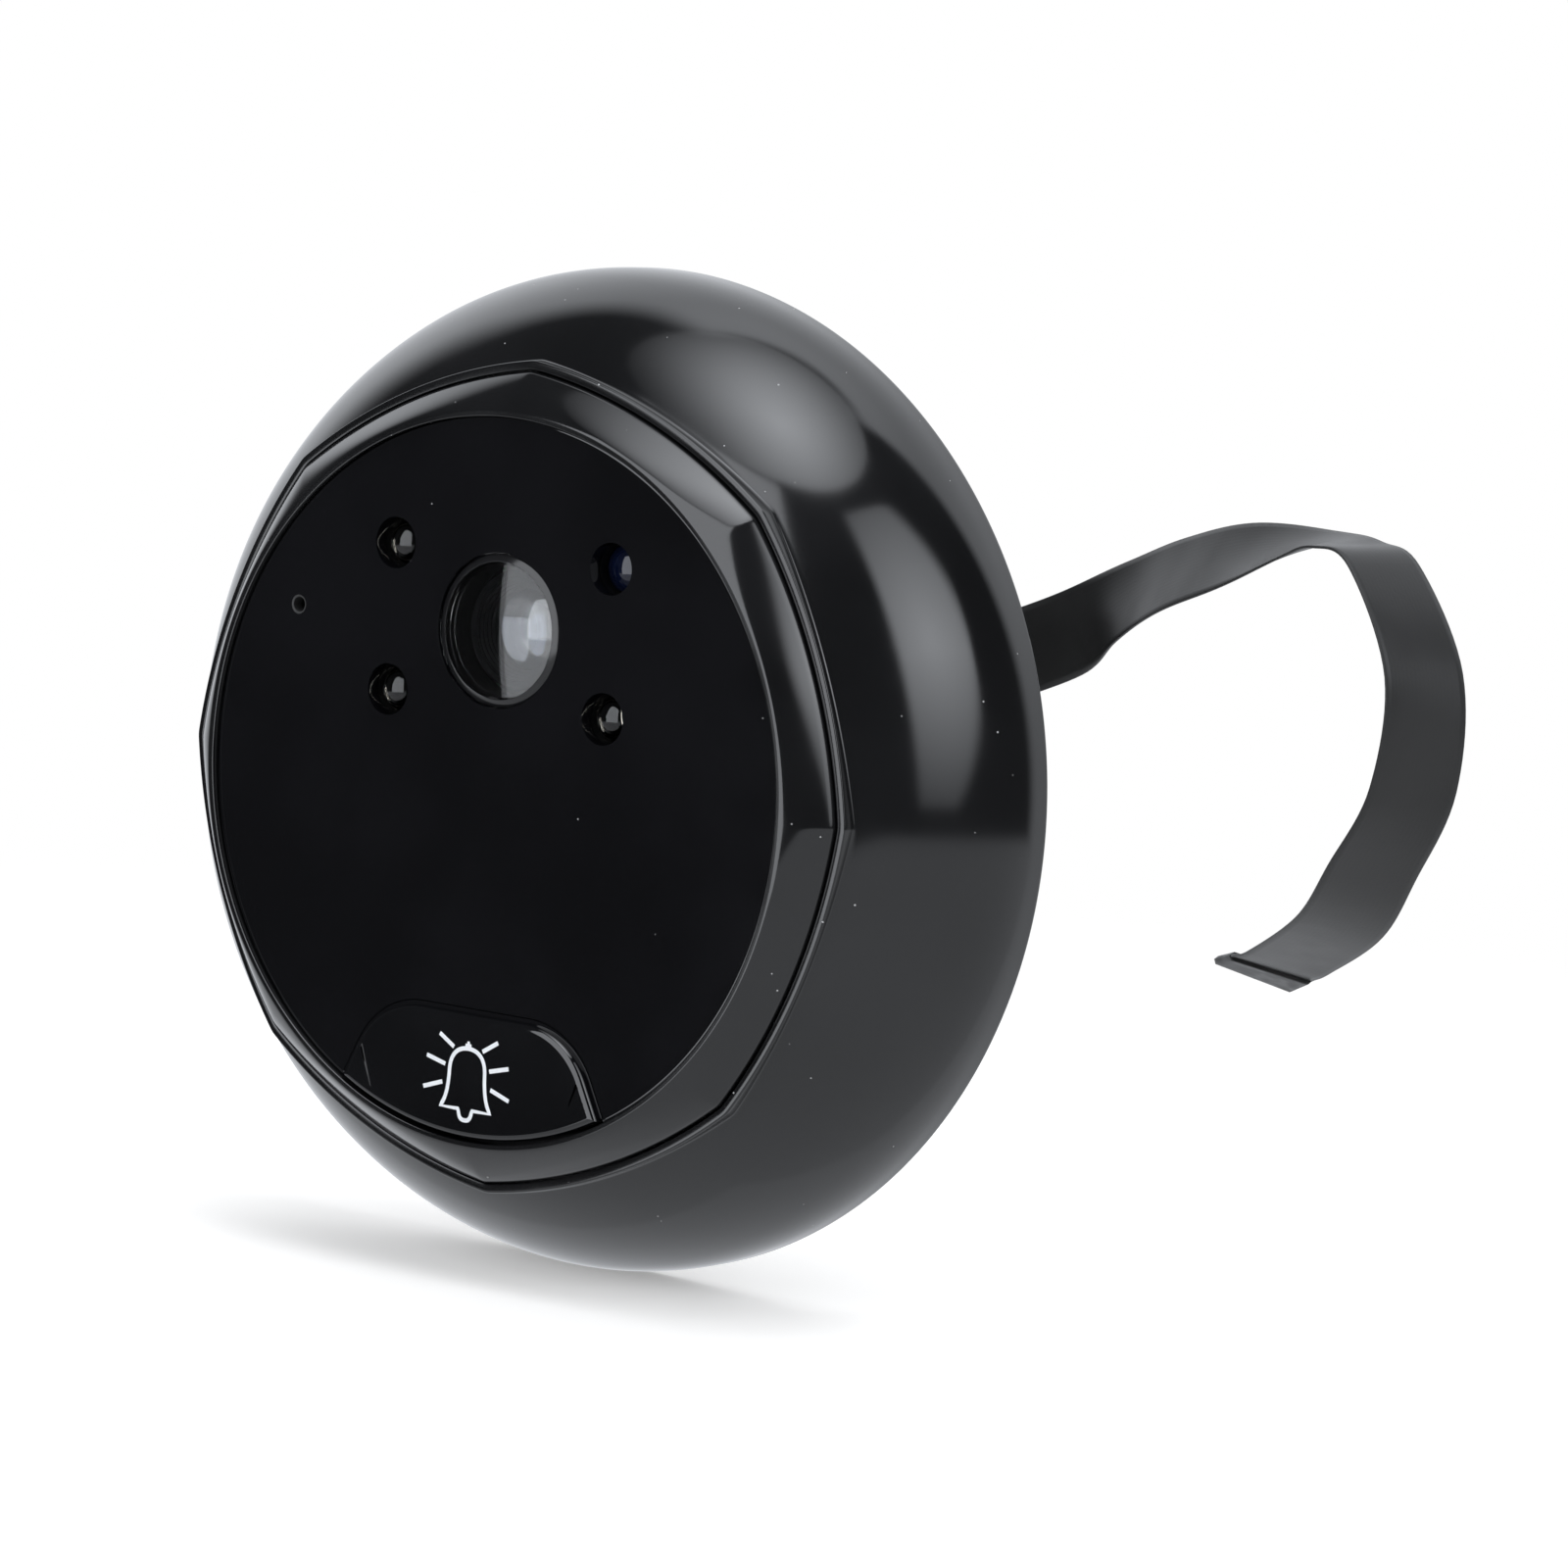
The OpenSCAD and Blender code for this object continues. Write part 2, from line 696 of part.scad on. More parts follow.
module cover_screws() {
    color("Silver") on_door() for (turn = cover_boss_turn)
        rotate(turn) translate([cover_boss_ring, 0, pad_t]) difference() {
            union() {
                cylinder(r1 = sunk_r, r2 = cover_screw_r, h = sunk_h);
                cylinder(r = cover_screw_r, h = cover_screw_len);
            }
            cross_slot(-cut, slot_deep + cut);
        }
}

module back_cover() {
    color("DimGray") on_door() difference() {
        union() {
            translate([0, 0, pad_t]) cylinder(r = cover_r, h = cover_t);
            translate([0, 0, -spigot_len]) cylinder(r = spigot_r, h = spigot_len + pad_t + eps);
        }
        for (turn = cover_boss_turn)
            rotate(turn) translate([cover_boss_ring, 0, pad_t - eps]) {
                cylinder(r1 = sunk_r + sunk_fit, r2 = cover_screw_r + sunk_fit, h = sunk_h + eps);
                cylinder(r = cover_screw_r + sunk_fit, h = cover_t + cut);
            }
        for (s = [-1, 1])
            translate([s * insert_pitch / 2, 0, -spigot_len - cut])
                cylinder(r = insert_r + screw_fit, h = insert_len + screw_fit + cut);
        translate([-passage_t / 2, -cable_w / 2 - passage_ease, -spigot_len - cut])
            cube([passage_t, cable_w + 2 * passage_ease, cover_front + spigot_len + 2 * cut]);
        grommet_block(screw_fit, cut);
    }
}

module housing_seal() {
    color("Black") on_door() translate([0, 0, cover_front]) difference() {
        cylinder(r = seal_r, h = seal_t);
        translate([0, 0, -cut]) cylinder(r = seal_in_r, h = seal_t + 2 * cut);
    }
}

module mounting_inserts() {
    color("Goldenrod") on_door() for (s = [-1, 1])
        translate([s * insert_pitch / 2, 0, -spigot_len]) difference() {
            cylinder(r = insert_r, h = insert_len);
            translate([0, 0, -cut]) cylinder(r = insert_bore_r, h = insert_len + 2 * cut);
        }
}

// Block at the spigot's end, with a margin round it and below
module grommet_block(margin, below) {
    long = cable_w + 2 * grommet_end;
    translate([-grommet_t / 2 - margin, -long / 2 - margin, -spigot_len - below])
        cube([grommet_t + 2 * margin, long + 2 * margin, grommet_len + below]);
}

module ribbon_grommet() {
    color("Black") on_door() difference() {
        grommet_block(0, 0);
        cable_slot(slot_fit, -spigot_len - cut, grommet_len + 2 * cut);
    }
}

// Smooth curve through the rows of the route, column 0 for points and 1 for the edge direction
function along(col, i, t) =
    let (a = route[max(i - 1, 0)][col], b = route[i][col], n = len(route) - 1)
    let (c = route[min(i + 1, n)][col], d = route[min(i + 2, n)][col])
    0.5 * (2 * b + (c - a) * t + (2 * a - 5 * b + 4 * c - d) * t * t + (3 * b - a - 3 * c + d) * t * t * t);

function unit(v) = v / norm(v);

// Four corners of the cable's section at one place on the route
function cable_ring(i, t, thick) =
    let (p = along(0, i, t), way = unit(along(0, i, t + 0.02) - along(0, i, t - 0.02)))
    let (hint = along(1, i, t), edge = unit(hint - (hint * way) * way) * cable_w / 2)
    let (face = unit(cross(way, edge)) * thick / 2)
    [p + edge + face, p + edge - face, p - edge - face, p - edge + face];

// Strip swept through rings of four corners
module strip(rings) {
    n = len(rings);
    skin = [
        for (j = [0:n - 2], k = [0:3])
            let (a = 4 * j + k, b = 4 * j + (k + 1) % 4)
            each [[a, b, b + 4], [a, b + 4, a + 4]]
    ];
    ends = [[3, 2, 1, 0], [4 * n - 4, 4 * n - 3, 4 * n - 2, 4 * n - 1]];
    polyhedron([for (r = rings) each r], concat(skin, ends));
}

module ribbon_cable() {
    color("Gray") strip(concat(
        [for (i = [0:cable_end - 1], s = [0:span_n - 1]) cable_ring(i, s / span_n, cable_t)],
        [cable_ring(cable_end, 0, cable_t)]));
}

module ribbon_contact_end() {
    color("DarkSlateGray") strip([for (s = [0:2]) cable_ring(cable_end, s / 2, contact_t)]);
}

module door_pad() {
    color("DimGray") on_door() difference() {
        cylinder(r = pad_r, h = pad_t);
        translate([0, 0, -cut]) cylinder(r = pad_in_r, h = pad_t + 2 * cut);
    }
}

dome_housing();
octagon_bezel();
face_plate();
face_adhesive();
lens_window();
lens_barrel();
front_lens();
rear_lens();
lens_holder();
image_sensor();
main_board();
led_spacers();
ir_led_upper_left();
ir_led_lower_left();
ir_led_lower_right();
light_sensor();
microphone();
microphone_boot();
doorbell_button();
tact_switch_body();
tact_switch_plunger();
processor_chip();
ribbon_socket();
board_screws();
bezel_screws();
cover_screws();
back_cover();
housing_seal();
mounting_inserts();
ribbon_grommet();
ribbon_cable();
ribbon_contact_end();
door_pad();
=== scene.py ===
# %% [markdown]
# # A peephole door camera
# The object is the outdoor half of a door viewer: a glossy black dome with an octagonal bezel, a dark
# round face with a lens, three lamps, a light sensor and a bell button, and a flat cable from its back.
# The CAD frame gives every size and place. This lesson dresses it, piece by piece.

# %% Load the frame
import json
import math

import bmesh
import bpy
import numpy as np
from mathutils import Matrix, Vector
from mathutils.geometry import delaunay_2d_cdt


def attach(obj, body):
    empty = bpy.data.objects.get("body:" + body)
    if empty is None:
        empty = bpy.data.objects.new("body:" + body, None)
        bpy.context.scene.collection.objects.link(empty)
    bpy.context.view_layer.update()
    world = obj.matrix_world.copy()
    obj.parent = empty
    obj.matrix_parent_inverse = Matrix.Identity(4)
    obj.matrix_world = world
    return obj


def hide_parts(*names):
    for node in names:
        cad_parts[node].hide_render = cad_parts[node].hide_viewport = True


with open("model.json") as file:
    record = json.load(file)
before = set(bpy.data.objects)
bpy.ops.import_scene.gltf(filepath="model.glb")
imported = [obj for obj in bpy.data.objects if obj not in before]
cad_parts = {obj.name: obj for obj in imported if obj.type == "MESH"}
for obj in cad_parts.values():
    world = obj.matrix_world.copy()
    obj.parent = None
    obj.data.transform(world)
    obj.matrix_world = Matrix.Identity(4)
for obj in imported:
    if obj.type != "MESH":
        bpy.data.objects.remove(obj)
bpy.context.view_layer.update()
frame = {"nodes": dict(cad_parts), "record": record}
scene = bpy.context.scene
scene.view_settings.view_transform = "Standard"
MM = 0.001
print("CAD nodes:", len(frame["nodes"]))

# %% [markdown]
# ## Camera
# The rim, the octagon and the outline of the dome fix the view: a long lens close to the object, a
# little to the right of it and slightly above. The three rows are the camera's right, up and back.

# %% Camera
CAMERA_AT = Vector((273.68, -348.89, 48.73)) * MM
CAMERA_RIGHT = Vector((0.79342, 0.60556, 0.06154))
CAMERA_UP = Vector((-0.11564, 0.05070, 0.99200))
CAMERA_LENS = 157.5
SENSOR = 36

camera_data = bpy.data.cameras.new("photo_camera")
camera_data.lens = CAMERA_LENS
camera_data.sensor_width = SENSOR
camera_data.clip_start = 0.01
camera = bpy.data.objects.new("photo_camera", camera_data)
scene.collection.objects.link(camera)
right = CAMERA_RIGHT.normalized()
back = right.cross(CAMERA_UP).normalized()
up = back.cross(right)
camera.matrix_world = Matrix.Translation(CAMERA_AT) @ Matrix((right, up, back)).transposed().to_4x4()
scene.camera = camera
print("camera distance mm:", round(CAMERA_AT.length / MM, 1))

# %% [markdown]
# ## Node helpers
# Every finish below is a small node tree, and a few short helpers keep those trees readable: one adds
# a node and sets its values, one links a value or a socket into an input.


# %% Node helpers
def feed(tree, socket, value):
    """Link a socket into an input, or set the input's own value."""
    if hasattr(value, "is_output"):
        tree.links.new(value, socket)
    else:
        socket.default_value = value


def add(tree, kind, inputs=(), **settings):
    """Add a node, set its properties, then feed its inputs by name or number."""
    node = tree.nodes.new(kind)
    for key, value in settings.items():
        setattr(node, key, value)
    for key, value in dict(inputs).items():
        feed(tree, node.inputs[key], value)
    return node


def maths(tree, operation, *values):
    """One maths node, as a socket."""
    return add(tree, "ShaderNodeMath", enumerate(values), operation=operation).outputs[0]


def ease(tree, value, low, high, to_low=0.0, to_high=1.0):
    """Smooth step from one level to another while a value runs from low to high."""
    names = {"Value": value, "From Min": low, "From Max": high, "To Min": to_low, "To Max": to_high}
    return add(tree, "ShaderNodeMapRange", names, interpolation_type="SMOOTHSTEP").outputs["Result"]


def mix_colour(tree, share, one, two):
    """Mix of two colours."""
    node = add(tree, "ShaderNodeMix", data_type="RGBA")
    for socket, value in zip([node.inputs[0], node.inputs[6], node.inputs[7]], [share, one, two]):
        feed(tree, socket, value)
    return node.outputs[2]


def grey(level):
    """A neutral colour."""
    return (level, level, level, 1)


def place_of(tree):
    """Place on the object, for a texture."""
    return add(tree, "ShaderNodeTexCoord").outputs["Object"]


def use(tree, shared, **values):
    """A shared effect in a tree, with its own values."""
    return add(tree, "ShaderNodeGroup", values, node_tree=shared)


def principled(name):
    """A new material, its tree and its shader."""
    material = bpy.data.materials.new(name)
    material.use_nodes = True
    return material, material.node_tree, material.node_tree.nodes["Principled BSDF"]


def group(name, inputs, outputs):
    """An empty shader group with named number inputs and outputs."""
    tree = bpy.data.node_groups.new(name, "ShaderNodeTree")
    for key, value in inputs.items():
        tree.interface.new_socket(key, in_out="INPUT", socket_type="NodeSocketFloat").default_value = value
    for key in outputs:
        tree.interface.new_socket(key, in_out="OUTPUT", socket_type="NodeSocketFloat")
    return tree, add(tree, "NodeGroupInput"), add(tree, "NodeGroupOutput")


# %% [markdown]
# ## Shared effects: dust and moulded skin
# Black gloss shows every speck. Dust is made from cells: a cell keeps its speck only if its own random
# number is high, so the specks are sparse. Moulded skin is the faint waviness of a polished plastic
# surface plus a fine grain. Both are groups, so each finish can set its own amount.


# %% Shared effects
def dust_group():
    """Sparse bright specks: cells per metre, speck size and share of cells kept."""
    tree, start, end = group("dust_specks", {"Cells": 260.0, "Size": 0.02, "Keep": 0.25}, ["Speck"])
    cells = add(tree, "ShaderNodeTexVoronoi", {"Vector": place_of(tree), "Scale": start.outputs["Cells"]})
    lot = add(tree, "ShaderNodeSeparateColor", {0: cells.outputs["Color"]})
    kept = maths(tree, "LESS_THAN", lot.outputs[0], start.outputs["Keep"])
    size = maths(tree, "MULTIPLY", start.outputs["Size"], maths(tree, "ADD", lot.outputs[1], 0.35))
    near = maths(tree, "LESS_THAN", cells.outputs["Distance"], size)
    feed(tree, end.inputs["Speck"], maths(tree, "MULTIPLY", near, kept))
    return tree


def skin_group():
    """Height of moulded plastic: slow waves, and fine grain on top."""
    tree, start, end = group("moulded_skin", {"Waves": 160.0, "Grain": 6000.0, "Share": 0.1}, ["Height"])
    place = place_of(tree)
    wave = add(tree, "ShaderNodeTexNoise", {"Vector": place, "Scale": start.outputs["Waves"], "Detail": 1.0})
    grain = add(tree, "ShaderNodeTexNoise", {"Vector": place, "Scale": start.outputs["Grain"], "Detail": 2.0})
    fine = maths(tree, "MULTIPLY", grain.outputs[0], start.outputs["Share"])
    feed(tree, end.inputs["Height"], maths(tree, "ADD", wave.outputs[0], fine))
    return tree


def blotch_group():
    """Slow uneven patches between nought and one, for colour and gloss that are never quite even."""
    tree, start, end = group("uneven_patches", {"Scale": 300.0, "Detail": 4.0}, ["Patch"])
    noise = add(tree, "ShaderNodeTexNoise", {"Vector": place_of(tree), "Scale": start.outputs["Scale"],
                                             "Detail": start.outputs["Detail"]})
    feed(tree, end.inputs["Patch"], ease(tree, noise.outputs[0], 0.3, 0.7))
    return tree


DUST, SKIN, BLOTCH = dust_group(), skin_group(), blotch_group()
print("shader groups:", [g.name for g in bpy.data.node_groups])

# %% [markdown]
# ## Finishes
# One builder makes most finishes: a colour that varies a little in patches, a roughness that varies
# with it, a skin for the bump and a few specks of dust. Glass and metal set their own extra values on
# the shader's sockets.


# %% Finish builder
DUST_GREY, DUST_ROUGH = 0.38, 0.5


def finish(name, colour, rough, patch=0.15, scale=300.0, waves=160.0, grain=6000.0, share=0.1, bump=0.02,
           height=0.00002, dust=0.0, cells=260.0, speck=0.02, **sockets):
    """A procedural material. sockets are plain values for the Principled shader, by their own names."""
    material, tree, shader = principled(name)
    amount = use(tree, BLOTCH, Scale=scale).outputs["Patch"]
    lighter = tuple(min(1.0, c * (1 + patch) + 0.002 * patch) for c in colour) + (1,)
    darker = tuple(c * (1 - patch) for c in colour) + (1,)
    tone = mix_colour(tree, amount, darker, lighter)
    gloss = ease(tree, amount, 0.0, 1.0, rough * (1 - patch), rough * (1 + patch))
    if dust > 0:
        speck_here = use(tree, DUST, Cells=cells, Size=speck, Keep=dust).outputs["Speck"]
        tone = mix_colour(tree, speck_here, tone, grey(DUST_GREY))
        gloss = maths(tree, "ADD", gloss, maths(tree, "MULTIPLY", speck_here, DUST_ROUGH))
    feed(tree, shader.inputs["Base Color"], tone)
    feed(tree, shader.inputs["Roughness"], gloss)
    if bump > 0:
        skin = use(tree, SKIN, Waves=waves, Grain=grain, Share=share).outputs["Height"]
        ridge = add(tree, "ShaderNodeBump", {"Height": skin, "Strength": bump, "Distance": height})
        feed(tree, shader.inputs["Normal"], ridge.outputs[0])
    for key, value in sockets.items():
        shader.inputs[key.replace("_", " ")].default_value = value
    return material


# %% Finishes of this object
GLOSS = dict(patch=0.2, scale=90.0, waves=140.0, share=0.02, bump=0.05, IOR=1.56, cells=1500.0, speck=0.075)
MOULDED = dict(bump=0.2, share=0.5)
CLEAR = dict(bump=0.0, Transmission_Weight=1.0)
LOOKS = {
    "housing_gloss": ((0.0045, 0.0046, 0.005), 0.1, dict(GLOSS, dust=0.08)),
    "bezel_gloss": ((0.0045, 0.0046, 0.005), 0.1, dict(GLOSS, dust=0.1)),
    "face_smoked": ((0.0022, 0.0022, 0.0028), 0.03, dict(GLOSS, dust=0.01)),
    "button_gloss": ((0.0024, 0.0025, 0.003), 0.05, dict(GLOSS, dust=0.004)),
    "adhesive_sheet": ((0.7, 0.7, 0.66), 0.6, {}),
    "barrel_black": ((0.003, 0.003, 0.0033), 0.75, dict(bump=0.1, grain=9000.0, share=0.6, Specular_IOR_Level=0.06)),
    "ring_satin": ((0.007, 0.007, 0.0075), 0.14, dict(patch=0.1, scale=900.0, bump=0.05, share=0.5)),
    "inner_black": ((0.012, 0.012, 0.013), 0.5, dict(bump=0.2, share=0.6)),
    "sensor_die": ((0.02, 0.022, 0.05), 0.12, dict(scale=2500.0, patch=0.5)),
    "board_green": ((0.008, 0.07, 0.025), 0.35, dict(scale=900.0, patch=0.4, bump=0.2)),
    "can_steel": ((0.6, 0.6, 0.6), 0.3, dict(Metallic=1.0)),
    "rubber_black": ((0.012, 0.012, 0.012), 0.65, dict(bump=0.4, share=0.8, height=0.00004)),
    "switch_grey": ((0.05, 0.05, 0.053), 0.5, MOULDED),
    "plunger_tan": ((0.32, 0.22, 0.12), 0.45, MOULDED),
    "chip_black": ((0.012, 0.012, 0.013), 0.5, dict(bump=0.3, share=1.0)),
    "socket_ivory": ((0.6, 0.56, 0.44), 0.5, MOULDED),
    "screw_steel": ((0.55, 0.54, 0.52), 0.28, dict(scale=1500.0, Metallic=1.0)),
    "cover_black": ((0.014, 0.014, 0.015), 0.48, dict(waves=1500.0, grain=5000.0, share=0.8, bump=0.35,
                                                      height=0.00005, dust=0.1)),
    "insert_brass": ((0.78, 0.53, 0.2), 0.25, dict(scale=1200.0, patch=0.2, Metallic=1.0)),
    "bell_white": ((0.82, 0.84, 0.86), 0.4, dict(patch=0.04, scale=900.0, bump=0.05, share=0.5)),
    "contact_gold": ((0.9, 0.62, 0.25), 0.3, dict(scale=1500.0, Metallic=1.0)),
    "contact_film": ((0.026, 0.026, 0.0265), 0.42, dict(scale=700.0, bump=0.1, share=0.5, IOR=1.35)),
    "window_clear": ((0.97, 0.98, 0.98), 0.01, dict(CLEAR, patch=0.01, IOR=1.35)),
    "lens_glass": ((0.9, 0.93, 1.0), 0.01, dict(CLEAR, patch=0.01, IOR=1.8)),
    "led_clear": ((0.97, 0.96, 0.93), 0.03, dict(CLEAR, patch=0.02, scale=900.0, IOR=1.5)),
    "sensor_blue": ((0.0012, 0.0026, 0.0105), 0.06, dict(patch=0.2, scale=900.0, bump=0.0, IOR=1.5)),
    "cup_silver": ((0.5, 0.48, 0.43), 0.25, dict(scale=2500.0, patch=0.12, Metallic=1.0)),
}
FINISH = {name: finish(name, colour, rough, **more) for name, (colour, rough, more) in LOOKS.items()}
print("finishes:", len(FINISH))

# %% [markdown]
# ## Mesh helpers
# The unit is drawn face up, as on a bench: x to the right, y up the face, and the height above the
# door. One call turns that to the frame. Turned pieces are grids of rings, and flat pieces are slabs
# whose outline and holes each step from the back to the front.


# %% Mesh helpers
def door(points):
    """From (x, y, height above the door) in millimetres to the frame, in metres."""
    p = np.asarray(points, float)
    return np.stack([p[..., 0], -p[..., 2], p[..., 1]], -1) * MM


def mesh_of(name, points, faces, flat_faces=()):
    """A closed mesh in the frame; faces are smooth, flat_faces are not."""
    mesh = bpy.data.meshes.new(name)
    mesh.from_pydata([tuple(p) for p in points], [], [tuple(int(i) for i in f) for f in [*faces, *flat_faces]])
    mesh.polygons.foreach_set("use_smooth", [True] * len(faces) + [False] * len(flat_faces))
    body = bmesh.new()
    body.from_mesh(mesh)
    bmesh.ops.remove_doubles(body, verts=body.verts, dist=1e-7)
    bmesh.ops.recalc_face_normals(body, faces=body.faces)
    body.to_mesh(mesh)
    body.free()
    return mesh


def piece(name, mesh, finish_name, body="unit", slot=None, stands_for=(), sharp=None):
    """Put a mesh in the scene as a finished piece that rides on a body."""
    obj = bpy.data.objects.new(name, mesh)
    scene.collection.objects.link(obj)
    if finish_name:
        mesh.materials.clear()
        mesh.materials.append(FINISH[finish_name])
    if sharp is not None:
        mesh.set_sharp_from_angle(angle=math.radians(sharp))
    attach(obj, body)
    if stands_for:
        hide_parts(*stands_for)
    print(f"{name}: {len(mesh.polygons)} faces on {body}")
    return obj


def solid(name, points, faces, finish_name, flat_faces=(), **options):
    """A piece from points that are drawn face up."""
    return piece(name, mesh_of(name, door(points), faces, flat_faces), finish_name, **options)


def ring_faces(rows, cols, closed):
    """Quads between rings of points; closed joins the last ring to the first."""
    j, i = np.meshgrid(np.arange(rows if closed else rows - 1), np.arange(cols), indexing="ij")
    j2, i2 = (j + 1) % rows, (i + 1) % cols
    return np.stack([j * cols + i, j * cols + i2, j2 * cols + i2, j2 * cols + i], -1).reshape(-1, 4)


def rounded(corners, steps=4):
    """Points of a closed outline whose corners carry their own rounding radius as a third number."""
    out = []
    for i, corner in enumerate(corners):
        p = np.array(corner[:2], float)
        radius = corner[2] if len(corner) > 2 else 0
        before = np.array(corners[i - 1][:2]) - p
        after = np.array(corners[(i + 1) % len(corners)][:2]) - p
        if radius <= 0:
            out.append(p)
            continue
        a, b = before / np.linalg.norm(before), after / np.linalg.norm(after)
        half = math.acos(np.clip(a @ b, -1, 1)) / 2
        run = radius / math.tan(half)
        middle = p + (a + b) / np.linalg.norm(a + b) * radius / math.sin(half)
        v0, v1 = p + a * run - middle, p + b * run - middle
        sweep = math.pi - 2 * half
        for k in range(steps + 1):
            t = k / steps
            out.append(middle + (math.sin((1 - t) * sweep) * v0 + math.sin(t * sweep) * v1) / math.sin(sweep))
    return np.array(out)


def turned(profile, cols=96, at=(0.0, 0.0), closed=True):
    """Points and faces of a turned piece: profile of (radius, height), round an axis at a place on the face."""
    profile = np.asarray(profile, float)
    turn = np.arange(cols) * 2 * math.pi / cols
    r, h = profile[:, :1], profile[:, 1:]
    points = np.stack([at[0] + r * np.cos(turn), at[1] + r * np.sin(turn), h + 0 * turn], -1)
    return points.reshape(-1, 3), ring_faces(len(profile), cols, closed)


def quarter(count):
    """Angles of a quarter turn, for a rounded edge."""
    return np.linspace(0, math.pi / 2, count)


def crowned(radius, bulge, top, count):
    """Shallow dome of a lens as (radius, height), from its edge to the axis."""
    ball = (radius ** 2 + bulge ** 2) / (2 * bulge)
    return [(radius * t, top - ball + math.sqrt(ball ** 2 - (radius * t) ** 2)) for t in np.linspace(1, 0, count)]


def joined(*parts):
    """Several shells of points and faces as one."""
    points, faces, start = [], [], 0
    for p, f in parts:
        points.append(p)
        faces += [[int(i) + start for i in face] for face in f]
        start += len(p)
    return np.concatenate(points), faces


def circle(radius, at=(0.0, 0.0), count=96):
    """Loop of points round a place on the face."""
    turn = np.arange(count) * 2 * math.pi / count
    return np.stack([at[0] + radius * np.cos(turn), at[1] + radius * np.sin(turn)], -1)


def cap(loops):
    """Triangles between an outer loop and round holes, as indices into the loops laid end to end.

    A triangle with all its corners on one hole's loop would fill that hole, so it is left out.
    """
    flat = np.concatenate(loops)
    edges, start = [], 0
    for loop in loops:
        n = len(loop)
        edges += [(start + i, start + (i + 1) % n) for i in range(n)]
        start += n
    made = delaunay_2d_cdt([Vector(p) for p in flat], edges, [], 1, 1e-7, True)
    owner = np.repeat(np.arange(len(loops)), [len(loop) for loop in loops])
    faces = [[made[3][i][0] for i in face] for face in made[2]]
    return [f for f in faces if not (owner[f[0]] > 0 and len(set(owner[f])) == 1)]


def slab(outlines):
    """Plate with holes. Each outline is a list of (loop, height) from the back to the front."""
    points, sides, firsts, lasts = [], [], [], []
    for outline in outlines:
        n = len(outline[0][0])
        start = len(points)
        for loop, height in outline:
            points += [(x, y, height) for x, y in loop]
        sides += (ring_faces(len(outline), n, False) + start).tolist()
        firsts.append(list(range(start, start + n)))
        lasts.append(list(range(len(points) - n, len(points))))
    caps = []
    for ends, pick in ((firsts, 0), (lasts, -1)):
        ids = [i for end in ends for i in end]
        caps += [[ids[i] for i in face] for face in cap([np.array(o[pick][0]) for o in outlines])]
    return np.array(points, float), sides, caps


# %% [markdown]
# ## Ribbon cable
# A flat flexible cable, 6 mm wide, comes out of the middle of the back, swings to the left, arches over
# behind the dome and comes down on the right in one loose curl. A flat cable bends only over its flat
# side, so the strip needs the way its edge points as well as the line that it follows. The rows repeat
# the CAD route: a point, then that edge direction, in millimetres.

# %% Ribbon cable
RIBBON_W, RIBBON_T, RIBBON_IN, RIBBON_STEPS = 6.0, 0.18, -4.9, 10
FILM_GREYS, LINE_GREY, FILM_ROUGH, FILM_IOR, FILM_LINES = (0.0205, 0.025), 0.012, (0.36, 0.42), 1.33, 40.0
ROUTE = np.array([
    [0, RIBBON_IN, 0, 0, 0, 1], [0, 3, 0, 0, 0, 1], [0, 6, 0, 0, 0, 1], [-1, 11, 0, 0, 0, 1],
    [-4.5, 18.5, 0, -0.25, -0.1, 0.95], [-7, 26, 0.5, -0.4, -0.15, 0.9], [-6.5, 33.5, 2, -0.4, -0.2, 0.9],
    [-2, 39.5, 5, -0.35, -0.2, 0.9], [5, 40, 8, -0.35, 0, 0.95], [11.5, 36.5, 11, -0.15, 0.4, 0.9],
    [18, 32.5, 13.5, 0, 0.55, 0.85], [25, 29, 15.5, 0.1, 0.65, 0.75], [32.5, 26.5, 17, 0.25, 0.9, 0.3],
    [36.5, 25, 17.5, 0.3, 0.95, 0.05], [40, 24, 16.5, 0.3, 0.95, 0], [44.5, 22.5, 10, 0.4, 0.9, 0.05],
    [44, 23, 2.5, 0.6, 0.8, 0], [39.5, 26, -3.5, 0.7, 0.7, -0.1], [34.5, 30.5, -8, 0.7, 0.7, -0.2],
    [26, 38, -12, 0.7, 0.7, -0.2], [23, 40.5, -13, 0.7, 0.68, -0.25], [20, 43, -14, 0.7, 0.65, -0.3],
], float)


def along(row, t):
    """Point and edge direction on the smooth curve through the route."""
    last = len(ROUTE) - 1
    a, b, c, d = (ROUTE[min(max(row + k, 0), last)] for k in (-1, 0, 1, 2))
    return 0.5 * (2 * b + (c - a) * t + (2 * a - 5 * b + 4 * c - d) * t ** 2 + (3 * b - a - 3 * c + d) * t ** 3)


def unit(v):
    """A direction of length one."""
    return v / np.linalg.norm(v)


def ribbon_place(row, t):
    """Centre, edge direction and face direction of the strip."""
    here, way = along(row, t), unit(along(row, t + 0.02)[:3] - along(row, t - 0.02)[:3])
    edge = unit(here[3:] - (here[3:] @ way) * way)
    return here[:3], edge, unit(np.cross(way, edge))


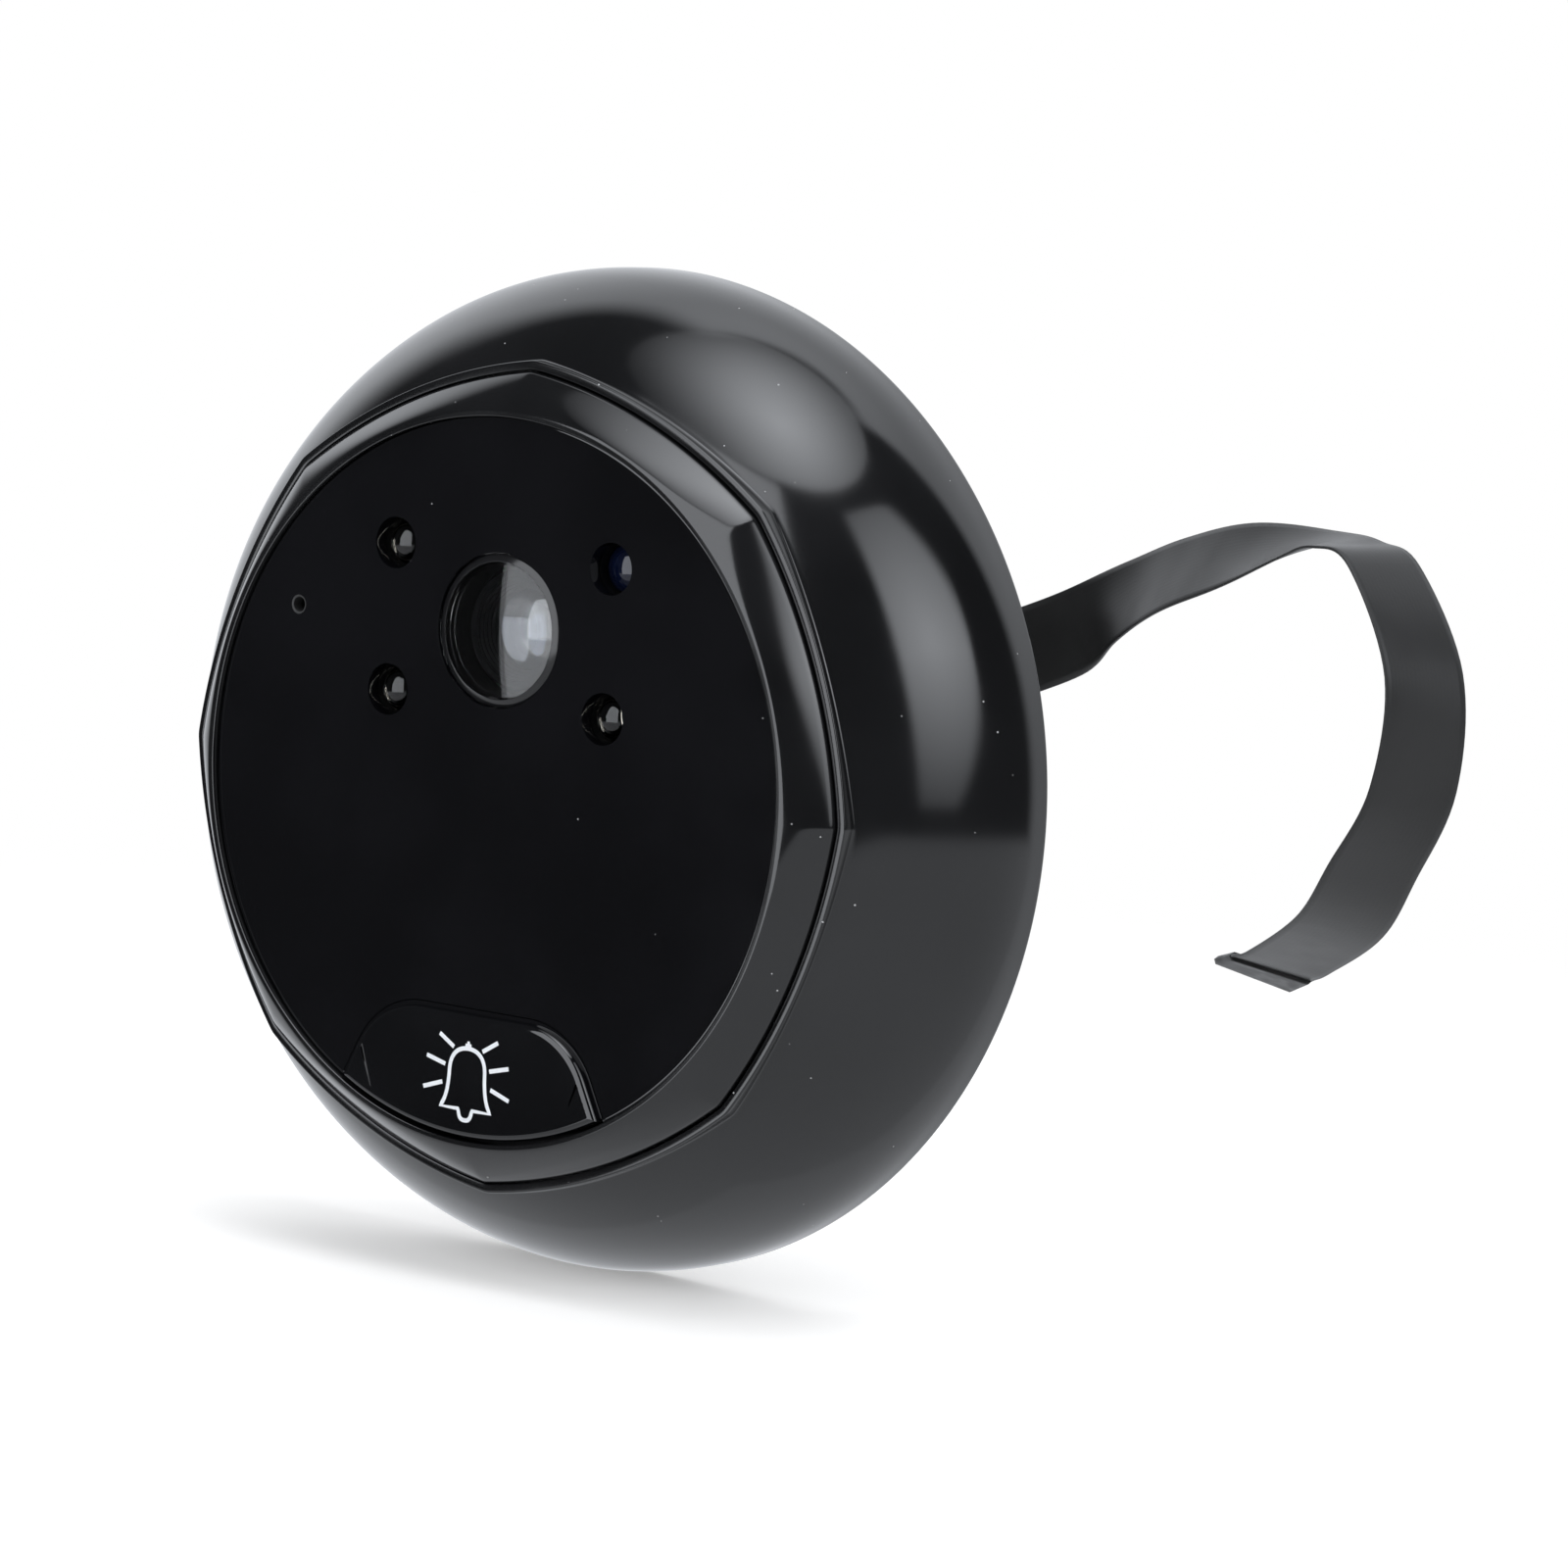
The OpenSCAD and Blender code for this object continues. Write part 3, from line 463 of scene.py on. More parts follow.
def strip_mesh(name, places, width, thick, across=14):
    """Closed strip with eased edges, and a UV map: across the strip, then along it in millimetres."""
    half = np.linspace(-1, 1, across)
    face = np.stack([half * (width / 2 - thick / 3), np.full(across, thick / 2)], -1)
    section = np.concatenate([face, [[width / 2, 0]], face[::-1] * [1, -1], [[-width / 2, 0]]])
    rings = np.array([c + s[:1] * e + s[1:] * n for c, e, n in places for s in section])
    cols = len(section)
    faces = ring_faces(len(places), cols, False).tolist()
    last = (len(places) - 1) * cols
    ends = [list(range(cols)), list(range(last, last + cols))]
    mesh = mesh_of(name, rings * MM, faces, ends)
    gaps = np.linalg.norm(np.diff([p[0] for p in places], axis=0), axis=1)
    run = np.concatenate([[0], np.cumsum(gaps)])
    layer = mesh.uv_layers.new(name="strip")
    for loop in mesh.loops:
        j, k = divmod(loop.vertex_index, cols)
        layer.data[loop.index].uv = (section[k][0] / width + 0.5, run[j] * MM * 10)
    return mesh, run[-1]


def ribbon_finish():
    """Matt dark film with faint conductors along it."""
    material, tree, shader = principled("ribbon_grey")
    where = add(tree, "ShaderNodeSeparateXYZ", {0: add(tree, "ShaderNodeUVMap", uv_map="strip").outputs[0]})
    lines = maths(tree, "PINGPONG", maths(tree, "MULTIPLY", where.outputs[0], FILM_LINES), 1.0)
    patch = use(tree, BLOTCH, Scale=140.0).outputs["Patch"]
    tone = mix_colour(tree, patch, grey(FILM_GREYS[0]), grey(FILM_GREYS[1]))
    tone = mix_colour(tree, ease(tree, lines, 0.35, 0.65, 0.0, 0.03), tone, grey(LINE_GREY))
    feed(tree, shader.inputs["Base Color"], tone)
    feed(tree, shader.inputs["Roughness"], ease(tree, patch, 0.0, 1.0, *FILM_ROUGH))
    shader.inputs["IOR"].default_value = FILM_IOR
    skin = use(tree, SKIN, Waves=120.0)
    height = maths(tree, "ADD", maths(tree, "MULTIPLY", lines, 0.03), skin.outputs["Height"])
    ridge = add(tree, "ShaderNodeBump", {"Height": height, "Strength": 0.25, "Distance": 0.0002})
    feed(tree, shader.inputs["Normal"], ridge.outputs[0])
    return material


FINISH["ribbon_grey"] = ribbon_finish()
last_row = len(ROUTE) - 2
ribbon_places = [ribbon_place(j, k / RIBBON_STEPS) for j in range(last_row) for k in range(RIBBON_STEPS)]
ribbon_places.append(ribbon_place(last_row, 0.0))
ribbon_mesh, ribbon_run = strip_mesh("ribbon", ribbon_places, RIBBON_W, RIBBON_T)
ribbon = piece("ribbon", ribbon_mesh, "ribbon_grey", stands_for=["ribbon_cable"])
print("ribbon length mm:", round(float(ribbon_run), 1))

# %% [markdown]
# ## Contact end
# The cable ends in a stiffened tip with bare contacts, as flat cables do that go into a clamp socket.
# The contacts repeat across the width, so a Geometry Nodes tree lays a row of thin strips; a second
# strip of mesh is the stiffener.


# %% Contact end
def node_tree(name, inputs):
    """An empty geometry tree with named inputs: name, socket type and value."""
    tree = bpy.data.node_groups.new(name, "GeometryNodeTree")
    tree.interface.new_socket("Geometry", in_out="INPUT", socket_type="NodeSocketGeometry")
    for key, (kind, value) in inputs.items():
        socket = tree.interface.new_socket(key, in_out="INPUT", socket_type=kind)
        if value is not None:
            socket.default_value = value
    tree.interface.new_socket("Geometry", in_out="OUTPUT", socket_type="NodeSocketGeometry")
    return tree, add(tree, "NodeGroupInput"), add(tree, "NodeGroupOutput")


def close_tree(tree, end, geometry, material):
    """End a tree in Realize Instances and Set Material."""
    real = add(tree, "GeometryNodeRealizeInstances", {0: geometry})
    painted = add(tree, "GeometryNodeSetMaterial", {"Geometry": real.outputs[0], "Material": material})
    feed(tree, end.inputs[0], painted.outputs[0])


def grown(name, tree, source, values):
    """Run a tree on a mesh or curve with its own values, and return the plain mesh."""
    holder = bpy.data.objects.new(name, source)
    scene.collection.objects.link(holder)
    modifier = holder.modifiers.new(name, "NODES")
    modifier.node_group = tree
    sockets = {s.name: s.identifier for s in tree.interface.items_tree if s.in_out == "INPUT"}
    for key, value in values.items():
        modifier[sockets[key]] = value
    evaluated = holder.evaluated_get(bpy.context.evaluated_depsgraph_get())
    mesh = bpy.data.meshes.new_from_object(evaluated)
    mesh.name = name
    holder.modifiers.remove(modifier)
    bpy.data.objects.remove(holder)
    return mesh


def contact_tree():
    """A row of flat contacts across the strip."""
    tree, start, end = node_tree("contact_row", {
        "Count": ("NodeSocketInt", 10), "Pitch": ("NodeSocketFloat", 0.0005),
        "Size": ("NodeSocketVector", (0.0003, 0.003, 0.00004)), "Finish": ("NodeSocketMaterial", None)})
    step = add(tree, "ShaderNodeCombineXYZ", {0: start.outputs["Pitch"]})
    row = add(tree, "GeometryNodeMeshLine", {"Count": start.outputs["Count"], "Offset": step.outputs[0]})
    bar = add(tree, "GeometryNodeMeshCube", {"Size": start.outputs["Size"], "Vertices Y": 9})
    laid = add(tree, "GeometryNodeInstanceOnPoints", {"Points": row.outputs[0], "Instance": bar.outputs[0]})
    close_tree(tree, end, laid.outputs[0], start.outputs["Finish"])
    return tree


CONTACTS, CONTACT_PITCH, STIFF_T = 10, 0.52, 0.6
tip_places = [ribbon_place(last_row, k / RIBBON_STEPS) for k in range(RIBBON_STEPS + 1)]
tip_mesh, tip_run = strip_mesh("contact_end", tip_places, RIBBON_W, STIFF_T)
contact_end = piece("contact_end", tip_mesh, "contact_film", stands_for=["ribbon_contact_end"])
contacts_mesh = grown("contacts", contact_tree(), bpy.data.meshes.new("seed"), {
    "Count": CONTACTS, "Pitch": CONTACT_PITCH * MM, "Size": (0.3 * MM, (tip_run - 0.8) * MM, 0.03 * MM),
    "Finish": FINISH["contact_gold"]})
for corner in contacts_mesh.vertices:
    across, run, up = np.array(corner.co) / MM
    tip_c, tip_e, tip_n = ribbon_place(last_row, 0.5 - run / tip_run)
    across -= CONTACT_PITCH * (CONTACTS - 1) / 2
    corner.co = Vector(tip_c + tip_e * across + tip_n * (up - STIFF_T / 2)) * MM
contacts = piece("contacts", contacts_mesh, None, slot="contact_film")

# %% [markdown]
# ## Stage and light
# The studio: a round soft box overhead and a tall one on the right, a white backdrop behind, a pale
# table below and a dim room in front. Black gloss shows these as its highlights, so their places
# matter more than their strength. Directions are given as on a map: degrees round from the front of
# the object to its right, then degrees up. Each box glows unevenly, as cloth in front of a lamp does.


# %% Soft boxes
def towards(round_deg, up_deg):
    """Direction from the object, from degrees round (front to right) and degrees up."""
    a, b = math.radians(round_deg), math.radians(up_deg)
    return Vector((math.sin(a) * math.cos(b), -math.cos(a) * math.cos(b), math.sin(b)))


def soft_box(name, at, faces_from, shape, size, watts, spread):
    """An area light at a place, square to a direction from the object."""
    data = bpy.data.lights.new(name, "AREA")
    data.shape, data.size, data.size_y = shape, *size
    data.energy, data.spread = watts, math.radians(spread)
    light = bpy.data.objects.new(name, data)
    scene.collection.objects.link(light)
    light.location = at
    light.rotation_mode = "QUATERNION"
    light.rotation_quaternion = (-faces_from).to_track_quat("-Z", "Y")
    light.visible_camera = False
    data.color = LIGHT_TINT
    data.use_nodes = True
    return data.node_tree


def cloth_place(tree):
    """Place on the lamp's cloth, 0 to 1 across and up."""
    across = add(tree, "ShaderNodeSeparateXYZ", {0: add(tree, "ShaderNodeNewGeometry").outputs["Parametric"]})
    return across.outputs[0], across.outputs[1]


def off_centre(tree, value, centre, slope):
    """Distance from a line on the cloth, times a slope."""
    return maths(tree, "MULTIPLY", maths(tree, "ABSOLUTE", maths(tree, "SUBTRACT", value, centre)), slope)


def round_glow(tree):
    """Brightest near one side, falling off all round."""
    u, v = cloth_place(tree)
    du, dv = (off_centre(tree, value, *fall) for value, fall in zip((u, v), ROUND_FALL))
    far = maths(tree, "SQRT", maths(tree, "MULTIPLY_ADD", du, du, maths(tree, "MULTIPLY", dv, dv)))
    feed(tree, tree.nodes["Emission"].inputs["Strength"], ease(tree, far, 0.0, 1.0, 1.0, 0.0))


def tall_glow(tree):
    """Brightest halfway up, with soft sides and rounded outer corners."""
    u, v = cloth_place(tree)
    bow = maths(tree, "POWER", off_centre(tree, v, 0.5, 1.0), 2.0)
    outer = ease(tree, maths(tree, "MULTIPLY_ADD", bow, 1.5, u), 0.9, 1.12, 1.0, 0.0)
    sides = maths(tree, "MULTIPLY", ease(tree, u, 0.0, 0.14), outer)
    height = maths(tree, "SUBTRACT", v, TALL_MIDDLE)
    fall = maths(tree, "MAXIMUM", *(maths(tree, "MULTIPLY", height, slope) for slope in TALL_FALL))
    level = maths(tree, "MULTIPLY", sides, maths(tree, "SUBTRACT", 1.0, fall))
    feed(tree, tree.nodes["Emission"].inputs["Strength"], level)


LIGHT_TINT = (0.96, 0.99, 1.04)
ROUND_FALL = (0.6, 1.35), (0.35, 0.7)
TALL_MIDDLE, TALL_FALL = 0.52, (0.5, -0.95)
OVERHEAD_WATTS, OVERHEAD_AT, OVERHEAD_SIZE = 2.2, (-0.01, -0.12, 1.0), (0.94, 0.94)
RIGHT_WATTS, RIGHT_SIZE, RIGHT_DROP = 2.05, (0.62, 1.15), 0.07
from_right = towards(82, 31)
right_at = from_right - RIGHT_DROP * towards(82, 121)
round_glow(soft_box("overhead_box", OVERHEAD_AT, towards(37, 77), "DISK", OVERHEAD_SIZE, OVERHEAD_WATTS, 82))
tall_glow(soft_box("right_box", right_at, from_right, "RECTANGLE", RIGHT_SIZE, RIGHT_WATTS, 86))

# %% [markdown]
# ## Table
# The table is a pale disc under the object that takes its shadow and fades out before its edge, so no
# horizon crosses the picture. A little light of its own, for the camera alone, brings it to white and
# keeps the shadow. Gloss sees the wide table of the studio, which the world paints, instead of this one.

# %% Table
TABLE_Z, TABLE_R, FADE_FROM, FADE_TO, TABLE_LIFT = -0.0325, 0.4, 0.06, 0.2, 0.3
TABLE_COLOUR, TABLE_SIDES = (0.84, 0.82, 0.79), 64
table_mesh = bpy.data.meshes.new("table")
table_mesh.from_pydata([(*xy, TABLE_Z) for xy in circle(TABLE_R, count=TABLE_SIDES)], [],
                       [tuple(range(TABLE_SIDES))])
table = bpy.data.objects.new("table", table_mesh)
scene.collection.objects.link(table)
table.visible_glossy = False


def table_finish():
    """Pale board near the object, nothing further out."""
    material = finish("table_pale", TABLE_COLOUR, 0.9, patch=0.01, bump=0.0, Emission_Color=grey(1.0))
    tree = material.node_tree
    lift = maths(tree, "MULTIPLY", add(tree, "ShaderNodeLightPath").outputs["Is Camera Ray"], TABLE_LIFT)
    feed(tree, tree.nodes["Principled BSDF"].inputs["Emission Strength"], lift)
    place = add(tree, "ShaderNodeSeparateXYZ", {0: place_of(tree)})
    level = add(tree, "ShaderNodeCombineXYZ", {0: place.outputs[0], 1: place.outputs[1]})
    far = add(tree, "ShaderNodeVectorMath", {0: level.outputs[0]}, operation="LENGTH").outputs["Value"]
    gone = add(tree, "ShaderNodeBsdfTransparent")
    mix = add(tree, "ShaderNodeMixShader", {0: ease(tree, far, FADE_FROM, FADE_TO)})
    tree.links.new(tree.nodes["Principled BSDF"].outputs[0], mix.inputs[1])
    tree.links.new(gone.outputs[0], mix.inputs[2])
    tree.links.new(mix.outputs[0], tree.nodes["Material Output"].inputs["Surface"])
    return material


table_mesh.materials.append(table_finish())

# %% [markdown]
# ## World
# The rest of the studio is painted on the world by direction: the backdrop, which brightens upwards and
# has a soft left edge that leans in as it rises, the wide table, and one pale panel in front, whose sharp
# edge shows in the lens as a line. Angles are in degrees, round from the back or the front. The camera
# sees plain white; gloss and glass see the studio itself, whose backdrop and table are as white. The panel
# is weaker for matt surfaces, so that the printed sign keeps its own white.


# %% World
BACK_LEFT, BACK_RIGHT, LEFT_LEAN = (-89, -65), (36, 48), -14.0
PANEL_SIDES, PANEL_HEIGHTS = (-36.4, 25, 0.2), (-18, 57, 1)
PANEL_GLOW, PANEL_MATT_DROP, ROOM_LEVEL, TABLE_LEVEL = 3.0, -1.6, 0.06, 0.8


def studio_world():
    """World light by direction, and plain white for the camera."""
    world = bpy.data.worlds.new("studio")
    scene.world = world
    world.use_nodes = True
    tree = world.node_tree
    where = add(tree, "ShaderNodeSeparateXYZ", {0: add(tree, "ShaderNodeTexCoord").outputs["Generated"]})
    x, y, z = where.outputs
    degrees = 180 / math.pi
    from_back = maths(tree, "MULTIPLY", maths(tree, "ARCTAN2", x, y), degrees)
    from_front = maths(tree, "MULTIPLY", maths(tree, "ARCTAN2", x, maths(tree, "MULTIPLY", y, -1.0)), degrees)
    rise = maths(tree, "MULTIPLY", maths(tree, "ARCSINE", z), degrees)

    def between(value, low, high, soft):
        inside = ease(tree, value, low - soft, low + soft)
        return maths(tree, "MULTIPLY", inside, ease(tree, value, high - soft, high + soft, 1.0, 0.0))

    level = maths(tree, "ADD", ease(tree, rise, 0, 30, 0.9, 1.25), ease(tree, rise, 50, 70, 0.0, 0.6))
    level = maths(tree, "MULTIPLY", level, ease(tree, rise, 67, 73, 1.0, 0.0))
    left = maths(tree, "ADD", from_back, ease(tree, rise, 36, 62, 0.0, LEFT_LEAN))
    sides = maths(tree, "MULTIPLY", ease(tree, left, *BACK_LEFT), ease(tree, from_back, *BACK_RIGHT, 1.0, 0.0))
    backdrop = maths(tree, "MULTIPLY", sides, level)
    edge = ease(tree, maths(tree, "ABSOLUTE", maths(tree, "ADD", from_front, 40.0)), 50, 100, -15.0, -7.5)
    below = maths(tree, "SUBTRACT", edge, rise)
    wide_table = ease(tree, below, -1.0, 1.5, 0.0, TABLE_LEVEL)
    panel = maths(tree, "MULTIPLY", between(from_front, *PANEL_SIDES), between(rise, *PANEL_HEIGHTS))
    path = add(tree, "ShaderNodeLightPath").outputs
    glow = maths(tree, "MULTIPLY_ADD", path["Is Diffuse Ray"], PANEL_MATT_DROP, PANEL_GLOW)
    room = maths(tree, "MULTIPLY_ADD", panel, glow, ROOM_LEVEL)
    studio = maths(tree, "MAXIMUM", maths(tree, "MAXIMUM", backdrop, wide_table), room)
    cool = add(tree, "ShaderNodeCombineXYZ", {k: maths(tree, "MULTIPLY", studio, LIGHT_TINT[k]) for k in range(3)})
    seen = mix_colour(tree, path["Is Camera Ray"], cool.outputs[0], grey(1.0))
    feed(tree, tree.nodes["Background"].inputs["Color"], seen)


studio_world()
print("world:", scene.world.name)

# %% [markdown]
# ## Dome housing
# The shell is round at the back and carries a raised octagonal lip at the front. A turned shape can't
# do that, so it is a grid: for each direction round the axis the section runs up the dome's two arcs,
# turns up at the lip's foot and goes over the lip. The directions crowd near the octagon's corners, so
# the corners stay crisp.

# %% Octagon
SIDE_R, MID_R, SIDES = 38.0, 25.25, 8
SIDE_OFF = SIDE_R - MID_R
PER_SIDE = 90
CORNER_SOFT = 0.03


def directions():
    """Directions round the axis, closer together near the octagon's corners."""
    u = np.arange(PER_SIDE) / PER_SIDE * 2 - 1
    step = 22.5 * (0.35 * u + 0.65 * np.sin(u * math.pi / 2))
    return np.radians((22.5 + 45 * np.arange(SIDES)[:, None] + step).ravel())


TURNS = directions()


def octagon_r(grow, turns=TURNS, soft=CORNER_SOFT):
    """Radius of the bowed octagon in each direction, grown by a margin."""
    lean = turns[:, None] - np.radians(22.5 + 45 * np.arange(SIDES))
    r = -SIDE_OFF * np.cos(lean) + np.sqrt((SIDE_R + grow) ** 2 - (SIDE_OFF * np.sin(lean)) ** 2)
    low = r.min(1, keepdims=True)
    return (low - soft * np.log(np.exp((low - r) / soft).sum(1, keepdims=True)))[:, 0]


def ring_grid(rows):
    """Points and faces of a closed grid from rows of (radius, height), each a number or one per direction."""
    r = np.array([np.broadcast_to(a, TURNS.shape) for a, b in rows])
    h = np.array([np.broadcast_to(b, TURNS.shape) for a, b in rows])
    points = np.stack([r * np.cos(TURNS), r * np.sin(TURNS), h], -1)
    return points.reshape(-1, 3), ring_faces(len(rows), len(TURNS), True)


print("directions:", len(TURNS), "corner radius mm:", round(float(octagon_r(0).max()), 2))

# %% Dome housing
DOME_R, DOME_REAR, BAND_TOP = 32.5, 1.0, 2.2
ARC_LOW_R, ARC_UP_R, ARC_TURN = 10.3, 17.4, math.radians(20.5)
LIP_TOP, LIP_OUT, LIP_IN, LIP_FOOT, LIP_EASE = 14.1, 0.7, 0.12, 0.3, 0.13
SHELF_Z, SHELF_LOW, SHELF_IN_R = 11.8, 9.8, 21.4
LEDGE_TOP, LEDGE_Z, SEAL_IN_R, REBATE_R, WALL = 6.4, 4.4, 28.4, 30.5, 2.0
EDGE_EASE, LIP_IN_EASE = 0.12, 0.08


def dome_rows():
    """Rows of the housing's section, from the rear edge over the dome and the lip, and back inside."""
    low_c = DOME_R - ARC_LOW_R
    up_c = low_c + (ARC_LOW_R - ARC_UP_R) * math.cos(ARC_TURN)
    up_h = BAND_TOP + (ARC_LOW_R - ARC_UP_R) * math.sin(ARC_TURN)
    rows = [(REBATE_R + 0.05, DOME_REAR), (DOME_R - 0.4, DOME_REAR)]
    for a in quarter(5):
        rows.append((DOME_R - EDGE_EASE * (1 - math.sin(a)), DOME_REAR + EDGE_EASE * (1 - math.cos(a))))
    rows += [(DOME_R, DOME_REAR + 0.3), (DOME_R, BAND_TOP - 0.3)]
    for a in np.linspace(0, ARC_TURN, 11):
        rows.append((low_c + ARC_LOW_R * math.cos(a), BAND_TOP + ARC_LOW_R * math.sin(a)))
    lip = octagon_r(LIP_OUT)
    foot_r = lip + LIP_FOOT
    foot_h = up_h + np.sqrt((ARC_UP_R + LIP_FOOT) ** 2 - (foot_r - up_c) ** 2)
    meet = np.arctan2(foot_h - up_h, foot_r - up_c)
    for t in np.linspace(0, 1, 49)[1:]:
        a = ARC_TURN + (meet - ARC_TURN) * t
        rows.append((up_c + ARC_UP_R * np.cos(a), up_h + ARC_UP_R * np.sin(a)))
    for t in np.linspace(0, 1, 8)[1:]:
        a = meet + math.pi - meet * t
        rows.append((foot_r + LIP_FOOT * np.cos(a), foot_h + LIP_FOOT * np.sin(a)))
    for a in quarter(6):
        rows.append((lip - LIP_EASE * (1 - math.cos(a)), LIP_TOP - LIP_EASE * (1 - math.sin(a))))
    inner = octagon_r(LIP_IN)
    for a in quarter(5):
        rows.append((inner + LIP_IN_EASE * (1 - math.sin(a)), LIP_TOP - LIP_IN_EASE * (1 - math.cos(a))))
    rows += [(inner, LIP_TOP - 0.3), (inner, SHELF_Z), (SHELF_IN_R, SHELF_Z), (SHELF_IN_R, SHELF_LOW)]
    inside_h = up_h + np.linspace(SHELF_LOW - up_h, LEDGE_TOP - up_h, 8)
    inside_r = up_c + np.sqrt((ARC_UP_R - WALL) ** 2 - (inside_h - up_h) ** 2)
    rows += [(float(a), float(b)) for a, b in zip(inside_r, inside_h)]
    rows += [(SEAL_IN_R, LEDGE_TOP), (SEAL_IN_R, LEDGE_Z), (REBATE_R, LEDGE_Z), (REBATE_R, DOME_REAR + 0.05)]
    return rows


COVER_BOSS_RING, COVER_BOSS_R, BOSS_BORE_R, COVER_FRONT = 25.2, 2.4, 1.12, 3.6
boss = rounded([(BOSS_BORE_R, COVER_FRONT), (COVER_BOSS_R, COVER_FRONT, 0.2), (COVER_BOSS_R, SHELF_LOW + 1),
                (BOSS_BORE_R, SHELF_LOW + 1)])
bosses = [turned(boss, 32, at) for at in circle(COVER_BOSS_RING, count=4)]
solid("dome", *joined(ring_grid(dome_rows()), *bosses), "housing_gloss", stands_for=["dome_housing"], sharp=50)

# %% [markdown]
# ## Octagon bezel
# A separate ring sits in the lip. Eight facets rise from the octagon to the round rim. They are steep at
# the octagon and lean over towards the rim, so the creases show only near the corners. In each direction
# the section is one curve that leaves the octagon's edge steeply and comes to the rim at the rim's own
# slope. The floor behind the face has the openings for the lens, the lamps, the microphone and the button.

# %% Face layout
LENS_Y, WINDOW_R, CLEAR_R = 9.55, 4.85, 4.3
LED_X, LED_HIGH_Y, LED_LOW_Y, LED_HOLE_R = 8.8, 14.3, 4.9, 1.65
LAMPS = [(-LED_X, LED_HIGH_Y), (-LED_X, LED_LOW_Y), (LED_X, LED_LOW_Y)]
SENSOR_AT = (LED_X, LED_HIGH_Y)
MIC_AT = (-16.69, 9.56)
RIM_Z, RIM_R, PLATE_R, PLATE_TOP = 16.5, 23.4, 23.0, 16.1
FLOOR_TOP, FLOOR_LOW = 15.05, 13.05
BUTTON_R, BUTTON_TOP, SHOULDER_X, SHOULDER_R, SIDE_TILT = 22.8, 14.9, 4.4, 5.5, math.radians(27)


def button_sides(grow, round_r, count=28):
    """Sides, shoulders and top of the button from the right foot to the left foot, grown by a margin."""
    drop, out = -BUTTON_TOP - SHOULDER_R, SHOULDER_R + grow
    centre = np.array([SHOULDER_X, drop])
    normal = np.array([math.cos(SIDE_TILT), math.sin(SIDE_TILT)])
    way = np.array([math.sin(SIDE_TILT), -math.cos(SIDE_TILT)])
    start = centre + out * normal
    b = start @ way
    foot = start + way * (-b + math.sqrt(b * b - start @ start + round_r ** 2))
    side = np.linspace(foot, start, count)[:-1]
    a = np.linspace(SIDE_TILT, math.pi / 2, count)
    arc = centre + out * np.stack([np.cos(a), np.sin(a)], -1)
    half = np.concatenate([side, arc, [[0.0, drop + out]]])
    return np.concatenate([half, half[-2::-1] * [-1, 1]])


def button_loop(inset, arc_count=160):
    """Outline of the button, set in from its edge, anticlockwise."""
    sides = button_sides(-inset, BUTTON_R - inset)
    first, last = math.atan2(*sides[-1][::-1]), math.atan2(*sides[0][::-1])
    a = np.linspace(first, last, arc_count)[1:-1]
    return np.concatenate([sides, (BUTTON_R - inset) * np.stack([np.cos(a), np.sin(a)], -1)])


def plate_loop(inset, cut_grow, arc_count=480):
    """Outline of the face plate: the round edge, then round the button's cut-out, anticlockwise."""
    sides = button_sides(cut_grow, PLATE_R - inset)[::-1]
    first, last = math.atan2(*sides[-1][::-1]), math.atan2(*sides[0][::-1]) + 2 * math.pi
    a = np.linspace(first, last, arc_count)[1:-1]
    return np.concatenate([sides, (PLATE_R - inset) * np.stack([np.cos(a), np.sin(a)], -1)])


print("button outline points:", len(button_loop(0)), "plate:", len(plate_loop(0, 0.2)))

# %% Octagon bezel
EDGE_Z, POCKET_R, SKIRT_IN_R = 14.3, 23.05, 23.7
STEEP, LEAN, EDGE_TO, RIM_FROM = math.radians(54), math.radians(30), 0.06, 0.94
MIC_OPENING_R, BUTTON_PLAY = 0.5, 0.15


def curve_point(ends, t):
    """Point of a curve that starts towards its middle handle and ends coming from it."""
    return tuple(u * (1 - t) ** 2 + 2 * v * t * (1 - t) + w * t ** 2 for u, v, w in zip(*ends))


def bezel_curve():
    """Ends and handle of the bezel's section in each direction, from the octagon's edge to the rim."""
    foot = octagon_r(0)
    rise = RIM_Z - EDGE_Z
    run = (rise / math.tan(LEAN) - (foot - RIM_R)) / (1 / math.tan(LEAN) - 1 / math.tan(STEEP))
    return (foot, EDGE_Z), (foot - run / math.tan(STEEP), EDGE_Z + run), (RIM_R, RIM_Z)


